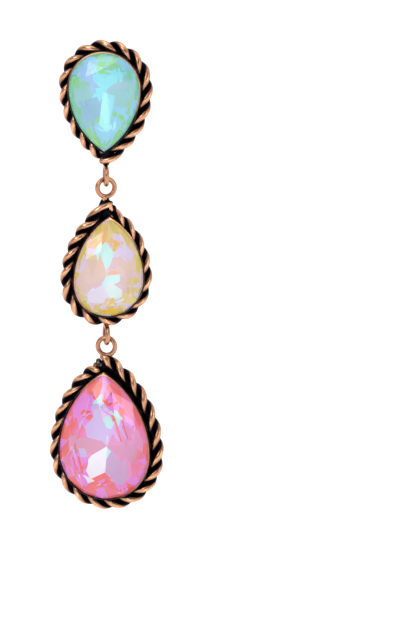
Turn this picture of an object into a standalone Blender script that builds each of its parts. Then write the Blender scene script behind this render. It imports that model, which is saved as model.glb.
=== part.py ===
"""A teardrop earring: three pear-cut stones in roped settings, linked one below the other by wire eyes, with
an ear post and its butterfly clutch. Metres, +Z up, the front towards -Y. The origin is where the post meets
the back of the top setting, and the post runs along +Y.

Each tier is modelled on the bench and then placed: there x is across, y points to the pear's tip, and z
points to the viewer, with zero at the middle of the pear's round end and at the front edge of the girdle."""

import math

import bmesh
import bpy
from mathutils import Matrix, Vector

# Stones
SMALL_WIDTH = 0.0100
SMALL_LENGTH = 0.0140
DROP_WIDTH = 0.0130
DROP_LENGTH = 0.0180
GIRDLE = 0.0003
CROWN_SHARE = 0.17  # of the stone's width
PAVILION_SHARE = 0.29  # of the stone's width
TABLE_INSET_SHARE = 0.20  # of the stone's width, from the girdle to the table
TIP_INSET_SHARE = 0.34  # of the stone's width, from the tip to the table's corner
CULET_SHARE = 0.055  # of the stone's width, from the round end's middle towards the tip
KITE_RISE_SHARE = 0.5  # of the crown, where the kite facets are widest
KEEL_SHARE = 0.45  # of the pavilion, where its lower facets end

# Settings
SEAT_GAP = 0.0001
BEZEL_WALL = 0.00025
LIP_RISE = 0.0003
LIP_OVERHANG = 0.00006  # how far the lip reaches in over the girdle
BACK_TAPER = 0.0013
FLOOR_GAP = 0.0003
FLOOR_THICKNESS = 0.0005

# Rope of two twisted wires round each setting
ROPE_WIRE = 0.00102
SMALL_ROPE_BITE = 0.00024  # how far the rope's inner crests lie inside the stone's outline
DROP_ROPE_BITE = 0.0001
ROPE_SEAT = 0.00015  # the cup's wall outside that outline, level with the rope's centreline
ROPE_BEHIND = 0.0016  # its centreline behind the girdle's front edge
ROPE_WAIST = 0.00026  # half the thickness where the two wires meet
SMALL_CRESTS = 17
DROP_CRESTS = 21
SMALL_ROPE_TIP = 0.0010  # from the stone's tip to the rope's
DROP_ROPE_TIP = 0.0018
ROPE_STEPS = 9  # sections in one full turn of the rope
ROPE_START = math.radians(-60)  # turn of the wires where the rope begins
ROPE_SHORT_SHARE = 0.72  # of a wire, from the tip back to each end of the rope

# Eyes that link the tiers, their reach measured from the rope's centreline
EYE_RADIUS = 0.001255
EYE_WIRE = 0.00069
EYE_GAP = 0.00012
TOP_EYE_REACH = 0.00266
MID_UPPER_REACH = 0.00313
MID_LOWER_REACH = 0.00213
DROP_EYE_REACH = 0.0019
SOLDER_RADIUS = 0.00098
SOLDER_OVERLAP = 0.0002

# How each tier and each lower eye hangs turned about the vertical
TOP_EYE_TURN = math.radians(15)
MID_TURN = math.radians(24)
MID_EYE_TURN = math.radians(-5)  # against the middle tier
DROP_TURN = math.radians(-5.5)

# Ear post and clutch
POST_DIAMETER = 0.00076
POST_LENGTH = 0.0130
POST_GAP = 0.0001
POST_NOTCH_BACK = 0.0019  # from the post's end to the notch
POST_NOTCH_LENGTH = 0.0004
POST_NOTCH_DEPTH = 0.0001
POST_ROUNDING = 0.00015
CLUTCH_BORE_GAP = 0.0001
CLUTCH_STANDOFF = 0.0021
CLUTCH_PLATE_RADIUS = 0.0035
CLUTCH_PETAL_DEPTH = 0.0005
CLUTCH_PETALS = 8
CLUTCH_PLATE = 0.0003
CLUTCH_STRIP = 0.00025
CLUTCH_STRIP_WIDTH = 0.0019
CLUTCH_SCROLL_WIDTH = 0.0025
CLUTCH_SCROLL_DEPTH = 0.0030
CLUTCH_TURN = math.radians(8)
SCROLL_FROM = math.radians(-110)  # round the scroll, where its strip leaves the plate
SCROLL_TO = math.radians(175)  # and where it ends beside the post

# Fineness of the meshes
ROUND_STEPS = 18
SIDE_STEPS = 11
HALF_MAINS = 4  # spaces between main facets along half of the girdle
ROPE_ARC_POINTS = 6  # round each wire of the rope's section
EYE_STEPS = 16
EYE_SIDES = 6
SOLDER_STEPS = 10
SOLDER_RINGS = 6
PETAL_STEPS = 6
SCROLL_STEPS = 14
POST_SIDES = 12
BORE_SIDES = 16
CUT_SNAP = 2e-7
WELD = 1e-7
MERGE = 1e-5


def clear_scene():
    for obj in list(bpy.data.objects):
        bpy.data.objects.remove(obj, do_unlink=True)


def new_collection(name):
    collection = bpy.data.collections.new(name)
    bpy.context.scene.collection.children.link(collection)
    return collection


def new_material(name, colour, roughness, metallic):
    material = bpy.data.materials.new(name)
    material.use_nodes = True
    shader = material.node_tree.nodes["Principled BSDF"]
    shader.inputs["Base Color"].default_value = (*colour, 1)
    shader.inputs["Roughness"].default_value = roughness
    shader.inputs["Metallic"].default_value = metallic
    material.diffuse_color = (*colour, 1)
    return material


def new_object(name, mesh, collection, parent, location=(0, 0, 0)):
    obj = bpy.data.objects.new(name, mesh)
    collection.objects.link(obj)
    obj.parent = parent
    obj.location = location
    return obj


def as_helper(obj):
    obj.hide_render = True
    obj.display_type = "WIRE"
    return obj


def move_to(obj, collection):
    for held in list(obj.users_collection):
        held.objects.unlink(obj)
    collection.objects.link(obj)


class Pear:
    """A pear outline: half a circle, and two longer arcs that meet at the tip."""

    def __init__(self, width, length):
        self.radius = width / 2
        self.tip = length - self.radius
        self.side_radius = (self.tip**2 + self.radius**2) / width
        self.side_centre = self.radius - self.side_radius

    def side_angle(self, offset):
        return math.acos(-self.side_centre / (self.side_radius + offset))

    def right_side(self, share, offset=0.0):
        """The point on the right-hand arc, with share 0 at the round end and 1 at the tip."""
        angle = share * self.side_angle(offset)
        radius = self.side_radius + offset
        return Vector((self.side_centre + radius * math.cos(angle), radius * math.sin(angle)))

    def outline(self, offset=0.0, round_steps=ROUND_STEPS, side_steps=SIDE_STEPS):
        """Points from the tip down the right side, round the end and back up the left side."""
        right = [self.right_side(1 - i / side_steps, offset) for i in range(side_steps)]
        reach = self.radius + offset
        turns = [-math.pi * i / round_steps for i in range(round_steps + 1)]
        end = [Vector((reach * math.cos(turn), reach * math.sin(turn))) for turn in turns]
        left = [Vector((-point.x, point.y)) for point in reversed(right[1:])]
        return right + end + left

    def half_length(self):
        return self.side_angle(0) * self.side_radius + math.pi / 2 * self.radius

    def at(self, distance):
        """The point and the outward normal this far along the outline from the tip, down the right side."""
        side = self.side_angle(0) * self.side_radius
        if distance < side:
            angle = (side - distance) / self.side_radius
            centre, radius = self.side_centre, self.side_radius
        else:
            angle = (side - distance) / self.radius
            centre, radius = 0.0, self.radius
        normal = Vector((math.cos(angle), math.sin(angle)))
        return Vector((centre, 0)) + radius * normal, normal


class Tier:
    """The sizes of one tier that follow from its stone."""

    def __init__(self, name, width, length, crests, rope_bite, rope_tip):
        self.name = name
        self.width = width
        self.pear = Pear(width, length)
        self.crown = CROWN_SHARE * width
        self.pavilion = PAVILION_SHARE * width
        self.floor = GIRDLE + self.pavilion + FLOOR_GAP
        self.back = self.floor + FLOOR_THICKNESS
        rope_radius = self.pear.radius - rope_bite + ROPE_WIRE
        self.rope = Pear(2 * rope_radius, rope_radius + self.pear.tip + rope_tip)
        self.crests = crests


def mirrored(corners):
    """The girdle points of the right half, with those of the left half after them."""
    return corners + [(Vector((-p.x, p.y)), Vector((-n.x, n.y))) for p, n in reversed(corners[1:-1])]


def line_crossing(first, second, first_inset, second_inset):
    """Where the tangents at two girdle points cross, once each has moved inwards by its inset."""
    (p, n), (q, m) = first, second
    a, b = n.dot(p) - first_inset, m.dot(q) - second_inset
    size = n.x * m.y - n.y * m.x
    return Vector(((a * m.y - b * n.y) / size, (n.x * b - m.x * a) / size))


def cut(mesh, first, second, third):
    """Grinds one flat facet through three points and keeps the side that holds the stone's middle."""
    normal = (second - first).cross(third - first).normalized()
    middle = Vector((0, 0, -GIRDLE / 2))
    if normal.dot(middle - first) > 0:
        normal.negate()
    geometry = mesh.verts[:] + mesh.edges[:] + mesh.faces[:]
    found = bmesh.ops.bisect_plane(
        mesh, geom=geometry, dist=CUT_SNAP, plane_co=first, plane_no=normal, clear_outer=True
    )
    edges = [item for item in found["geom_cut"] if isinstance(item, bmesh.types.BMEdge)]
    open_edges = [edge for edge in edges if len(edge.link_faces) == 1]
    if open_edges:
        bmesh.ops.contextual_create(mesh, geom=open_edges)


def cut_side(mesh, tier, mains, middles, insets, height, share, base):
    """The facets of the crown, where height is above the girdle, or of the pavilion, where it is below."""
    count = len(mains)
    tops = [(p - inset * n).to_3d() + Vector((0, 0, base + height)) for (p, n), inset in zip(mains, insets)]
    joints = []
    for i in range(count):
        j = (i + 1) % count
        crossing = line_crossing(mains[i], mains[j], share * insets[i], share * insets[j])
        joints.append(crossing.to_3d() + Vector((0, 0, base + share * height)))
    rims = [point.to_3d() + Vector((0, 0, base)) for point, _ in mains]
    for i in range(count):
        normal = mains[i][1]
        cut(mesh, rims[i], rims[i] + Vector((-normal.y, normal.x, 0)) * tier.width, tops[i])
    for i in range(count):
        j = (i + 1) % count
        if (tops[i] - tops[j]).length > CUT_SNAP:
            cut(mesh, tops[i], tops[j], joints[i])
        middle = middles[i].to_3d() + Vector((0, 0, base))
        cut(mesh, rims[i], middle, joints[i])
        cut(mesh, rims[j], middle, joints[i])


def stone_mesh(tier):
    """A pear cut ground from a slab: table, kites, stars and girdle facets above, mains to a culet below."""
    pear = tier.pear
    half = pear.half_length()
    tip = (Vector((0, pear.tip)), Vector((0, 1)))
    mains = mirrored([tip] + [pear.at(half * i / HALF_MAINS) for i in range(1, HALF_MAINS + 1)])
    right = [pear.at(half * (i + 0.5) / HALF_MAINS)[0] for i in range(HALF_MAINS)]
    middles = right + [Vector((-point.x, point.y)) for point in reversed(right)]
    insets = [TIP_INSET_SHARE * tier.width] + [TABLE_INSET_SHARE * tier.width] * (len(mains) - 1)
    culet = Vector((0, CULET_SHARE * tier.width))
    depths = [normal.dot(point - culet) for point, normal in mains]

    mesh = bmesh.new()
    ring = [mesh.verts.new((*point, tier.crown)) for point in pear.outline()]
    face = mesh.faces.new(ring)
    slab = bmesh.ops.extrude_face_region(mesh, geom=[face])
    lowered = [item for item in slab["geom"] if isinstance(item, bmesh.types.BMVert)]
    depth = tier.crown + GIRDLE + tier.pavilion
    bmesh.ops.translate(mesh, verts=lowered, vec=(0, 0, -depth))
    bmesh.ops.recalc_face_normals(mesh, faces=mesh.faces)
    cut_side(mesh, tier, mains, middles, insets, tier.crown, KITE_RISE_SHARE, 0.0)
    cut_pavilion(mesh, tier, mains, middles, depths, culet)
    bmesh.ops.remove_doubles(mesh, verts=mesh.verts, dist=CUT_SNAP)
    bmesh.ops.recalc_face_normals(mesh, faces=mesh.faces)
    data = bpy.data.meshes.new(tier.name + "_stone")
    mesh.to_mesh(data)
    mesh.free()
    return data


def cut_pavilion(mesh, tier, mains, middles, depths, culet):
    """Mains that all pass through the culet, and two lower facets between each pair of them."""
    base = Vector((0, 0, -GIRDLE))
    bottom = culet.to_3d() + base - Vector((0, 0, tier.pavilion))
    count = len(mains)
    rims = [point.to_3d() + base for point, _ in mains]
    for i in range(count):
        normal = mains[i][1]
        cut(mesh, rims[i], rims[i] + Vector((-normal.y, normal.x, 0)) * tier.width, bottom)
    for i in range(count):
        j = (i + 1) % count
        insets = (KEEL_SHARE * depths[i], KEEL_SHARE * depths[j])
        crossing = line_crossing(mains[i], mains[j], *insets)
        joint = crossing.to_3d() + base - Vector((0, 0, KEEL_SHARE * tier.pavilion))
        middle = middles[i].to_3d() + base
        cut(mesh, rims[i], middle, joint)
        cut(mesh, rims[j], middle, joint)


def lofted(name, sections, pear):
    """A closed mesh through outlines of one pear, each section an outline offset and a height."""
    mesh = bmesh.new()
    rings = []
    for offset, height in sections:
        rings.append([mesh.verts.new((*point, height)) for point in pear.outline(offset)])
    for lower, upper in zip(rings, rings[1:]):
        for i in range(len(lower)):
            mesh.faces.new((lower[i - 1], lower[i], upper[i], upper[i - 1]))
    mesh.faces.new(rings[0])
    mesh.faces.new(rings[-1])
    bmesh.ops.recalc_face_normals(mesh, faces=mesh.faces)
    data = bpy.data.meshes.new(name)
    mesh.to_mesh(data)
    mesh.free()
    return data


def cup_sections(tier):
    """The cup's wall from the rim of its back, up the outside, over the lip and down inside to the floor."""
    outside = SEAT_GAP + BEZEL_WALL
    narrowing = BACK_TAPER * (tier.floor - ROPE_BEHIND) / (tier.back - ROPE_BEHIND)
    return (
        (-BACK_TAPER, -tier.back),
        (ROPE_SEAT, -ROPE_BEHIND),
        (outside, -GIRDLE),
        (outside, 0.0),
        (SEAT_GAP, LIP_RISE),
        (-LIP_OVERHANG, LIP_RISE),
        (SEAT_GAP, 0.0),
        (SEAT_GAP, -GIRDLE),
        (-BEZEL_WALL, -ROPE_BEHIND),
        (-BEZEL_WALL - narrowing, -tier.floor),
    )


def rope_profile(collection):
    """The rope's section: two round wires side by side, joined at the waist."""
    data = bpy.data.curves.new("rope_profile", "CURVE")
    data.dimensions = "2D"
    spline = data.splines.new("POLY")
    spline.use_cyclic_u = True
    radius = ROPE_WIRE / 2
    edge = math.pi - math.asin(ROPE_WAIST / radius)
    turns = [edge * (2 * i / (ROPE_ARC_POINTS - 1) - 1) for i in range(ROPE_ARC_POINTS)]
    points = [(radius + radius * math.cos(turn), radius * math.sin(turn)) for turn in turns]
    points += [(-x, -y) for x, y in points]
    spline.points.add(len(points) - 1)
    for point, (x, y) in zip(spline.points, points):
        point.co = (x, y, 0, 1)
    obj = bpy.data.objects.new("rope_profile", data)
    collection.objects.link(obj)
    return as_helper(obj)


def rope_mesh(tier, profile):
    """The rope as a sweep round the tier, turned as it goes. Its ends stop short of each other at the tip."""
    half = tier.rope.half_length()
    turns = tier.crests / 2
    steps = round(turns * ROPE_STEPS)
    short = ROPE_WIRE * ROPE_SHORT_SHARE
    data = bpy.data.curves.new(tier.name + "_rope", "CURVE")
    data.dimensions = "3D"
    data.twist_mode = "Z_UP"
    data.bevel_mode = "OBJECT"
    data.bevel_object = profile
    data.use_fill_caps = True
    spline = data.splines.new("POLY")
    spline.points.add(steps)
    for i, point in enumerate(spline.points):
        share = i / steps
        distance = short + share * 2 * (half - short)
        if distance <= half:
            place = tier.rope.at(distance)[0]
        else:
            place = tier.rope.at(2 * half - distance)[0]
            place.x = -place.x
        point.co = (place.x, place.y, -ROPE_BEHIND, 1)
        point.tilt = ROPE_START + 2 * math.pi * turns * share
    return solid_from_curve(data)


def solid_from_curve(data):
    """A closed mesh of a swept curve, which is removed."""
    obj = bpy.data.objects.new(data.name, data)
    bpy.context.scene.collection.objects.link(obj)
    bpy.context.view_layer.update()
    graph = bpy.context.evaluated_depsgraph_get()
    solid = bpy.data.meshes.new_from_object(obj.evaluated_get(graph))
    bpy.data.objects.remove(obj, do_unlink=True)
    mesh = bmesh.new()
    mesh.from_mesh(solid)
    bmesh.ops.remove_doubles(mesh, verts=mesh.verts, dist=WELD)
    bmesh.ops.recalc_face_normals(mesh, faces=mesh.faces)
    mesh.to_mesh(solid)
    mesh.free()
    return solid


def add_eye(name, height, edge_on, turn, helpers, parent, location):
    """A wire eye in the plane of the rope, facing the viewer or, turned about the pear's axis, edge-on."""
    bpy.ops.mesh.primitive_torus_add(
        major_radius=EYE_RADIUS,
        minor_radius=EYE_WIRE / 2,
        major_segments=EYE_STEPS,
        minor_segments=EYE_SIDES,
    )
    eye = bpy.context.object
    eye.name = name
    move_to(eye, helpers)
    eye.parent = parent
    facing = turn + (math.pi / 2 if edge_on else 0.0)
    middle = Vector((0, height, -ROPE_BEHIND)) + location
    eye.matrix_local = Matrix.Translation(middle) @ Matrix.Rotation(facing, 4, "Y")
    return as_helper(eye)


def add_solder(name, low, high, helpers, parent, location):
    """A blob of solder from one height to another in the plane of the rope."""
    bpy.ops.mesh.primitive_uv_sphere_add(
        segments=SOLDER_STEPS, ring_count=SOLDER_RINGS, radius=SOLDER_RADIUS
    )
    blob = bpy.context.object
    blob.name = name
    move_to(blob, helpers)
    blob.parent = parent
    stretch = (high - low) / (2 * SOLDER_RADIUS)
    middle = Vector((0, (low + high) / 2, -ROPE_BEHIND)) + location
    blob.matrix_local = Matrix.Translation(middle) @ Matrix.Diagonal((1, stretch, 1, 1))
    return as_helper(blob)


def unite(obj, others, solver="EXACT"):
    """Joins the others to the object. The ropes take MANIFOLD, because EXACT loses one of them."""
    for other in others:
        modifier = obj.modifiers.new(other.name, "BOOLEAN")
        modifier.operation = "UNION"
        modifier.solver = solver
        modifier.object = other


def eye_solder(tier, name, reach, helpers, parent, location):
    """The solder that closes the rope's tip and holds the eye there."""
    apex = tier.rope.tip
    inner = EYE_RADIUS + EYE_WIRE / 2
    high = max(apex + reach - inner + SOLDER_OVERLAP, apex + SOLDER_RADIUS)
    return add_solder(name, apex - SOLDER_RADIUS, high, helpers, parent, location)


def foot_solder(tier, name, reach, helpers, parent, location):
    """The solder between the rope's round end and the eye below it."""
    edge = -tier.rope.radius
    inner = EYE_RADIUS + EYE_WIRE / 2
    low = edge - max(reach - inner + SOLDER_OVERLAP, ROPE_WIRE)
    return add_solder(name, low, edge, helpers, parent, location)


def add_setting(tier, profile, parts, helpers, parent, location, metal):
    name = tier.name + "_setting"
    cup = new_object(name, lofted(name, cup_sections(tier), tier.pear), parts, parent, location)
    cup.data.materials.append(metal)
    rope = as_helper(new_object(tier.name + "_rope", rope_mesh(tier, profile), helpers, parent, location))
    return cup, rope


def add_stone(tier, parts, parent, location, material):
    stone = new_object(tier.name + "_stone", stone_mesh(tier), parts, parent, location)
    stone.data.materials.append(material)
    return stone


def add_top(tier, profile, parts, helpers, metal, crystal):
    """The top tier, with its back on the origin. It is upside down, so its eye turns the other way."""
    place = bpy.data.objects.new("top_place", None)
    parts.objects.link(place)
    place.matrix_world = Matrix.Rotation(math.pi / 2, 4, "X") @ Matrix.Rotation(math.pi, 4, "Z")
    location = Vector((0, 0, tier.back))
    cup, rope = add_setting(tier, profile, parts, helpers, place, location, metal)
    height = tier.rope.tip + TOP_EYE_REACH
    eye = add_eye("top_eye", height, True, -TOP_EYE_TURN, helpers, place, location)
    solder = eye_solder(tier, "top_solder", TOP_EYE_REACH, helpers, place, location)
    unite(cup, (rope, solder, eye), "MANIFOLD")
    add_stone(tier, parts, place, location, crystal)


def add_hanging(tier, hinge, turn, upper_reach, profile, parts, helpers, metal, crystal):
    """A tier that hangs tip up from an eye. Its empty is on the joint's axis, in the eye above."""
    place = bpy.data.objects.new(tier.name + "_hinge", None)
    parts.objects.link(place)
    upright = Matrix.Rotation(turn, 4, "Z") @ Matrix.Rotation(math.pi / 2, 4, "X")
    place.matrix_world = Matrix.Translation(hinge) @ upright
    location = Vector((0, -hang_height(tier, upper_reach), ROPE_BEHIND))
    cup, rope = add_setting(tier, profile, parts, helpers, place, location, metal)
    name = tier.name + "_upper_eye"
    eye = add_eye(name, tier.rope.tip + upper_reach, False, 0.0, helpers, place, location)
    solder = eye_solder(tier, tier.name + "_solder", upper_reach, helpers, place, location)
    unite(cup, (rope, solder, eye), "MANIFOLD")
    add_stone(tier, parts, place, location, crystal)
    return cup, place, location


def hang_height(tier, upper_reach):
    """From the middle of the pear's round end up to the wire that its upper eye hangs on."""
    return tier.rope.tip + upper_reach + EYE_RADIUS - EYE_WIRE - EYE_GAP


def turned(name, profile, steps, collection, parent, location):
    """A turned piece: its profile of radius and height, swept round z by a Screw modifier."""
    mesh = bmesh.new()
    verts = [mesh.verts.new((radius, 0, height)) for radius, height in profile]
    for first, second in zip(verts, verts[1:]):
        mesh.edges.new((first, second))
    data = bpy.data.meshes.new(name)
    mesh.to_mesh(data)
    mesh.free()
    obj = new_object(name, data, collection, parent, location)
    screw = obj.modifiers.new("turn", "SCREW")
    screw.steps = steps
    screw.render_steps = steps
    screw.use_merge_vertices = True
    screw.merge_threshold = MERGE
    return obj


def add_post(parts, material):
    """The ear post, a pin with a notch near its rounded end."""
    radius = POST_DIAMETER / 2
    notch = radius - POST_NOTCH_DEPTH
    notch_end = POST_LENGTH - POST_NOTCH_BACK
    notch_start = notch_end - POST_NOTCH_LENGTH
    slope = POST_NOTCH_DEPTH
    profile = (
        (0, POST_LENGTH),
        (radius - POST_ROUNDING, POST_LENGTH),
        (radius, POST_LENGTH - POST_ROUNDING),
        (radius, notch_end),
        (notch, notch_end - slope),
        (notch, notch_start + slope),
        (radius, notch_start),
        (radius, POST_GAP),
        (0, POST_GAP),
    )
    post = turned("ear_post", profile, POST_SIDES, parts, None, (0, 0, 0))
    post.rotation_euler = (-math.pi / 2, 0, 0)
    post.data.materials.append(material)


def petal_plate():
    """The clutch's flat plate, its edge cut into petals."""
    data = bpy.data.curves.new("clutch_plate", "CURVE")
    data.dimensions = "2D"
    data.fill_mode = "BOTH"
    data.extrude = CLUTCH_PLATE / 2
    spline = data.splines.new("POLY")
    spline.use_cyclic_u = True
    steps = PETAL_STEPS * CLUTCH_PETALS
    spline.points.add(steps - 1)
    for i, point in enumerate(spline.points):
        turn = 2 * math.pi * i / steps
        dip = 1 - abs(math.sin(CLUTCH_PETALS * turn / 2))
        radius = CLUTCH_PLATE_RADIUS - CLUTCH_PETAL_DEPTH * dip
        point.co = (radius * math.cos(turn), radius * math.sin(turn), 0, 1)
    return solid_from_curve(data)


def scroll(name, side, helpers, parent):
    """One scroll of the clutch: a strip that leaves the plate, curls out, and ends beside the post."""
    inner = POST_DIAMETER / 2 + CLUTCH_BORE_GAP + CLUTCH_STRIP / 2
    across = CLUTCH_SCROLL_WIDTH / 2
    deep = (CLUTCH_SCROLL_DEPTH - CLUTCH_PLATE / 2) / 2
    data = bpy.data.curves.new(name, "CURVE")
    data.dimensions = "3D"
    data.twist_mode = "Z_UP"
    data.extrude = CLUTCH_STRIP_WIDTH / 2
    spline = data.splines.new("POLY")
    spline.points.add(SCROLL_STEPS)
    for i, point in enumerate(spline.points):
        turn = SCROLL_FROM + (SCROLL_TO - SCROLL_FROM) * i / SCROLL_STEPS
        x = side * (inner + across + across * math.cos(turn))
        point.co = (x, CLUTCH_PLATE / 2 + deep + deep * math.sin(turn), 0, 1)
    obj = bpy.data.objects.new(name, data)
    bpy.context.scene.collection.objects.link(obj)
    bpy.context.view_layer.update()
    graph = bpy.context.evaluated_depsgraph_get()
    strip = bpy.data.meshes.new_from_object(obj.evaluated_get(graph))
    bpy.data.objects.remove(obj, do_unlink=True)
    ribbon = new_object(name, strip, helpers, parent)
    thick = ribbon.modifiers.new("thickness", "SOLIDIFY")
    thick.thickness = CLUTCH_STRIP
    thick.offset = 0
    return as_helper(ribbon)


def add_clutch(parts, helpers, material):
    """The butterfly clutch: a petalled plate with two scrolls, bored to slide on the post."""
    plate = new_object("ear_clutch", petal_plate(), parts, None)
    plate.matrix_world = (
        Matrix.Translation((0, CLUTCH_STANDOFF + CLUTCH_PLATE / 2, 0))
        @ Matrix.Rotation(CLUTCH_TURN, 4, "Y")
        @ Matrix.Rotation(math.pi / 2, 4, "X")
    )
    plate.data.materials.append(material)
    bpy.context.view_layer.update()
    scrolls = []
    for side in (-1, 1):
        name = "left_scroll" if side < 0 else "right_scroll"
        ribbon = scroll(name, side, helpers, plate)
        ribbon.rotation_euler = (-math.pi / 2, 0, 0)
        scrolls.append(ribbon)
    unite(plate, scrolls)
    bpy.ops.mesh.primitive_cylinder_add(
        vertices=BORE_SIDES, radius=POST_DIAMETER / 2 + CLUTCH_BORE_GAP, depth=2 * CLUTCH_SCROLL_DEPTH
    )
    bore = bpy.context.object
    bore.name = "clutch_bore"
    move_to(bore, helpers)
    bore.parent = plate
    bore.matrix_local = Matrix.Identity(4)
    cutting = plate.modifiers.new("bore", "BOOLEAN")
    cutting.operation = "DIFFERENCE"
    cutting.solver = "EXACT"
    cutting.object = as_helper(bore)


def build():
    clear_scene()
    parts = new_collection("teardrop_earring")
    helpers = new_collection("cutters")
    copper = new_material("antique_copper", (0.42, 0.22, 0.13), 0.35, 1.0)
    dark_copper = new_material("brushed_copper", (0.36, 0.20, 0.14), 0.45, 1.0)
    steel = new_material("post_steel", (0.55, 0.53, 0.58), 0.25, 1.0)
    green = new_material("green_crystal", (0.50, 0.80, 0.78), 0.05, 0.0)
    peach = new_material("peach_crystal", (0.88, 0.74, 0.62), 0.05, 0.0)
    coral = new_material("coral_crystal", (0.90, 0.48, 0.55), 0.05, 0.0)

    profile = rope_profile(helpers)
    small = (SMALL_WIDTH, SMALL_LENGTH, SMALL_CRESTS, SMALL_ROPE_BITE, SMALL_ROPE_TIP)
    top = Tier("top", *small)
    mid = Tier("mid", *small)
    drop = Tier("drop", DROP_WIDTH, DROP_LENGTH, DROP_CRESTS, DROP_ROPE_BITE, DROP_ROPE_TIP)

    rope_plane = ROPE_BEHIND - top.back
    mid_hinge = Vector((0, rope_plane, -(top.rope.tip + TOP_EYE_REACH + EYE_RADIUS)))
    mid_fall = hang_height(mid, MID_UPPER_REACH) + mid.rope.radius + MID_LOWER_REACH + EYE_RADIUS
    drop_hinge = mid_hinge - Vector((0, 0, mid_fall))

    add_top(top, profile, parts, helpers, copper, green)
    cup, place, location = add_hanging(
        mid, mid_hinge, MID_TURN, MID_UPPER_REACH, profile, parts, helpers, copper, peach
    )
    foot = -(mid.rope.radius + MID_LOWER_REACH)
    lower_eye = add_eye("mid_lower_eye", foot, True, MID_EYE_TURN, helpers, place, location)
    lower_solder = foot_solder(mid, "mid_lower_solder", MID_LOWER_REACH, helpers, place, location)
    unite(cup, (lower_solder, lower_eye), "MANIFOLD")
    add_hanging(drop, drop_hinge, DROP_TURN, DROP_EYE_REACH, profile, parts, helpers, copper, coral)
    add_post(parts, steel)
    add_clutch(parts, helpers, dark_copper)


build()
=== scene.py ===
"""Looks for the teardrop earring: twisted ropes, cups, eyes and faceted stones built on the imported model.

Each tier is made in millimetres of its own frame and then placed. There x is across, y points to the pear's
tip and z to the viewer, with zero at the middle of the round end and at the front edge of the girdle.
"""

import math

import bmesh
import bpy
import numpy as np
from mathutils import Matrix, Vector


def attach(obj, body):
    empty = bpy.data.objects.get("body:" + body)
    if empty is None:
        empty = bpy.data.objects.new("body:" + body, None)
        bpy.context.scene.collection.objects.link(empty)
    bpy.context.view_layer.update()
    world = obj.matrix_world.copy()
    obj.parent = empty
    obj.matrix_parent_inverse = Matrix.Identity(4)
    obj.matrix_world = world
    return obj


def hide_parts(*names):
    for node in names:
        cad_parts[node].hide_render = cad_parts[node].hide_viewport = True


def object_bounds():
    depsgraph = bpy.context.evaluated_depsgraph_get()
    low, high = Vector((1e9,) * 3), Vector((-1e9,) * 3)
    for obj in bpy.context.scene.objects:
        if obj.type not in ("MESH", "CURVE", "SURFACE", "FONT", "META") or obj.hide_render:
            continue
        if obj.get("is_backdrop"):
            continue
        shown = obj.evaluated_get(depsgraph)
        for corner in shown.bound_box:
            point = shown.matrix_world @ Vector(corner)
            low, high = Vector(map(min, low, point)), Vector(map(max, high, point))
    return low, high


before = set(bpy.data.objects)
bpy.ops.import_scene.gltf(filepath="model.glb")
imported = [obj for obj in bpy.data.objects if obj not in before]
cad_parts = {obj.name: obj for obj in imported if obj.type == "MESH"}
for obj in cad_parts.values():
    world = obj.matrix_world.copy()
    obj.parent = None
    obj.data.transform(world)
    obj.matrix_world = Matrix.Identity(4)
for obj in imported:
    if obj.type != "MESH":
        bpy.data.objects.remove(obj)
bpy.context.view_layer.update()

MM = 0.001

# The same sizes as the solids, in millimetres and degrees
GIRDLE = 0.3
CROWN_SHARE, PAVILION_SHARE = 0.17, 0.29
TABLE_INSET_SHARE, TIP_INSET_SHARE = 0.2, 0.34
CULET_SHARE, KITE_RISE_SHARE, HALF_MAINS = 0.055, 0.5, 4
SEAT_GAP, BEZEL_WALL = 0.1, 0.25
BACK_TAPER, FLOOR_GAP, FLOOR_THICKNESS = 1.3, 0.3, 0.5
ROPE_WIRE, ROPE_SEAT, ROPE_BEHIND = 1.02, 0.15, 1.6
ROPE_START, ROPE_SHORT = math.radians(-60), ROPE_WIRE * 0.72
EYE_RADIUS, EYE_WIRE, EYE_GAP = 1.255, 0.69, 0.12
EYE_OUTER = EYE_RADIUS + EYE_WIRE / 2
TOP_EYE_REACH, MID_UPPER_REACH, MID_LOWER_REACH, DROP_EYE_REACH = 2.66, 3.13, 2.13, 1.9
TOP_EYE_TURN, MID_TURN, MID_EYE_TURN, DROP_TURN = 15, 24, -5, -5.5


def rotation(degrees, axis):
    return Matrix.Rotation(math.radians(degrees), 4, axis)


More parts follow.
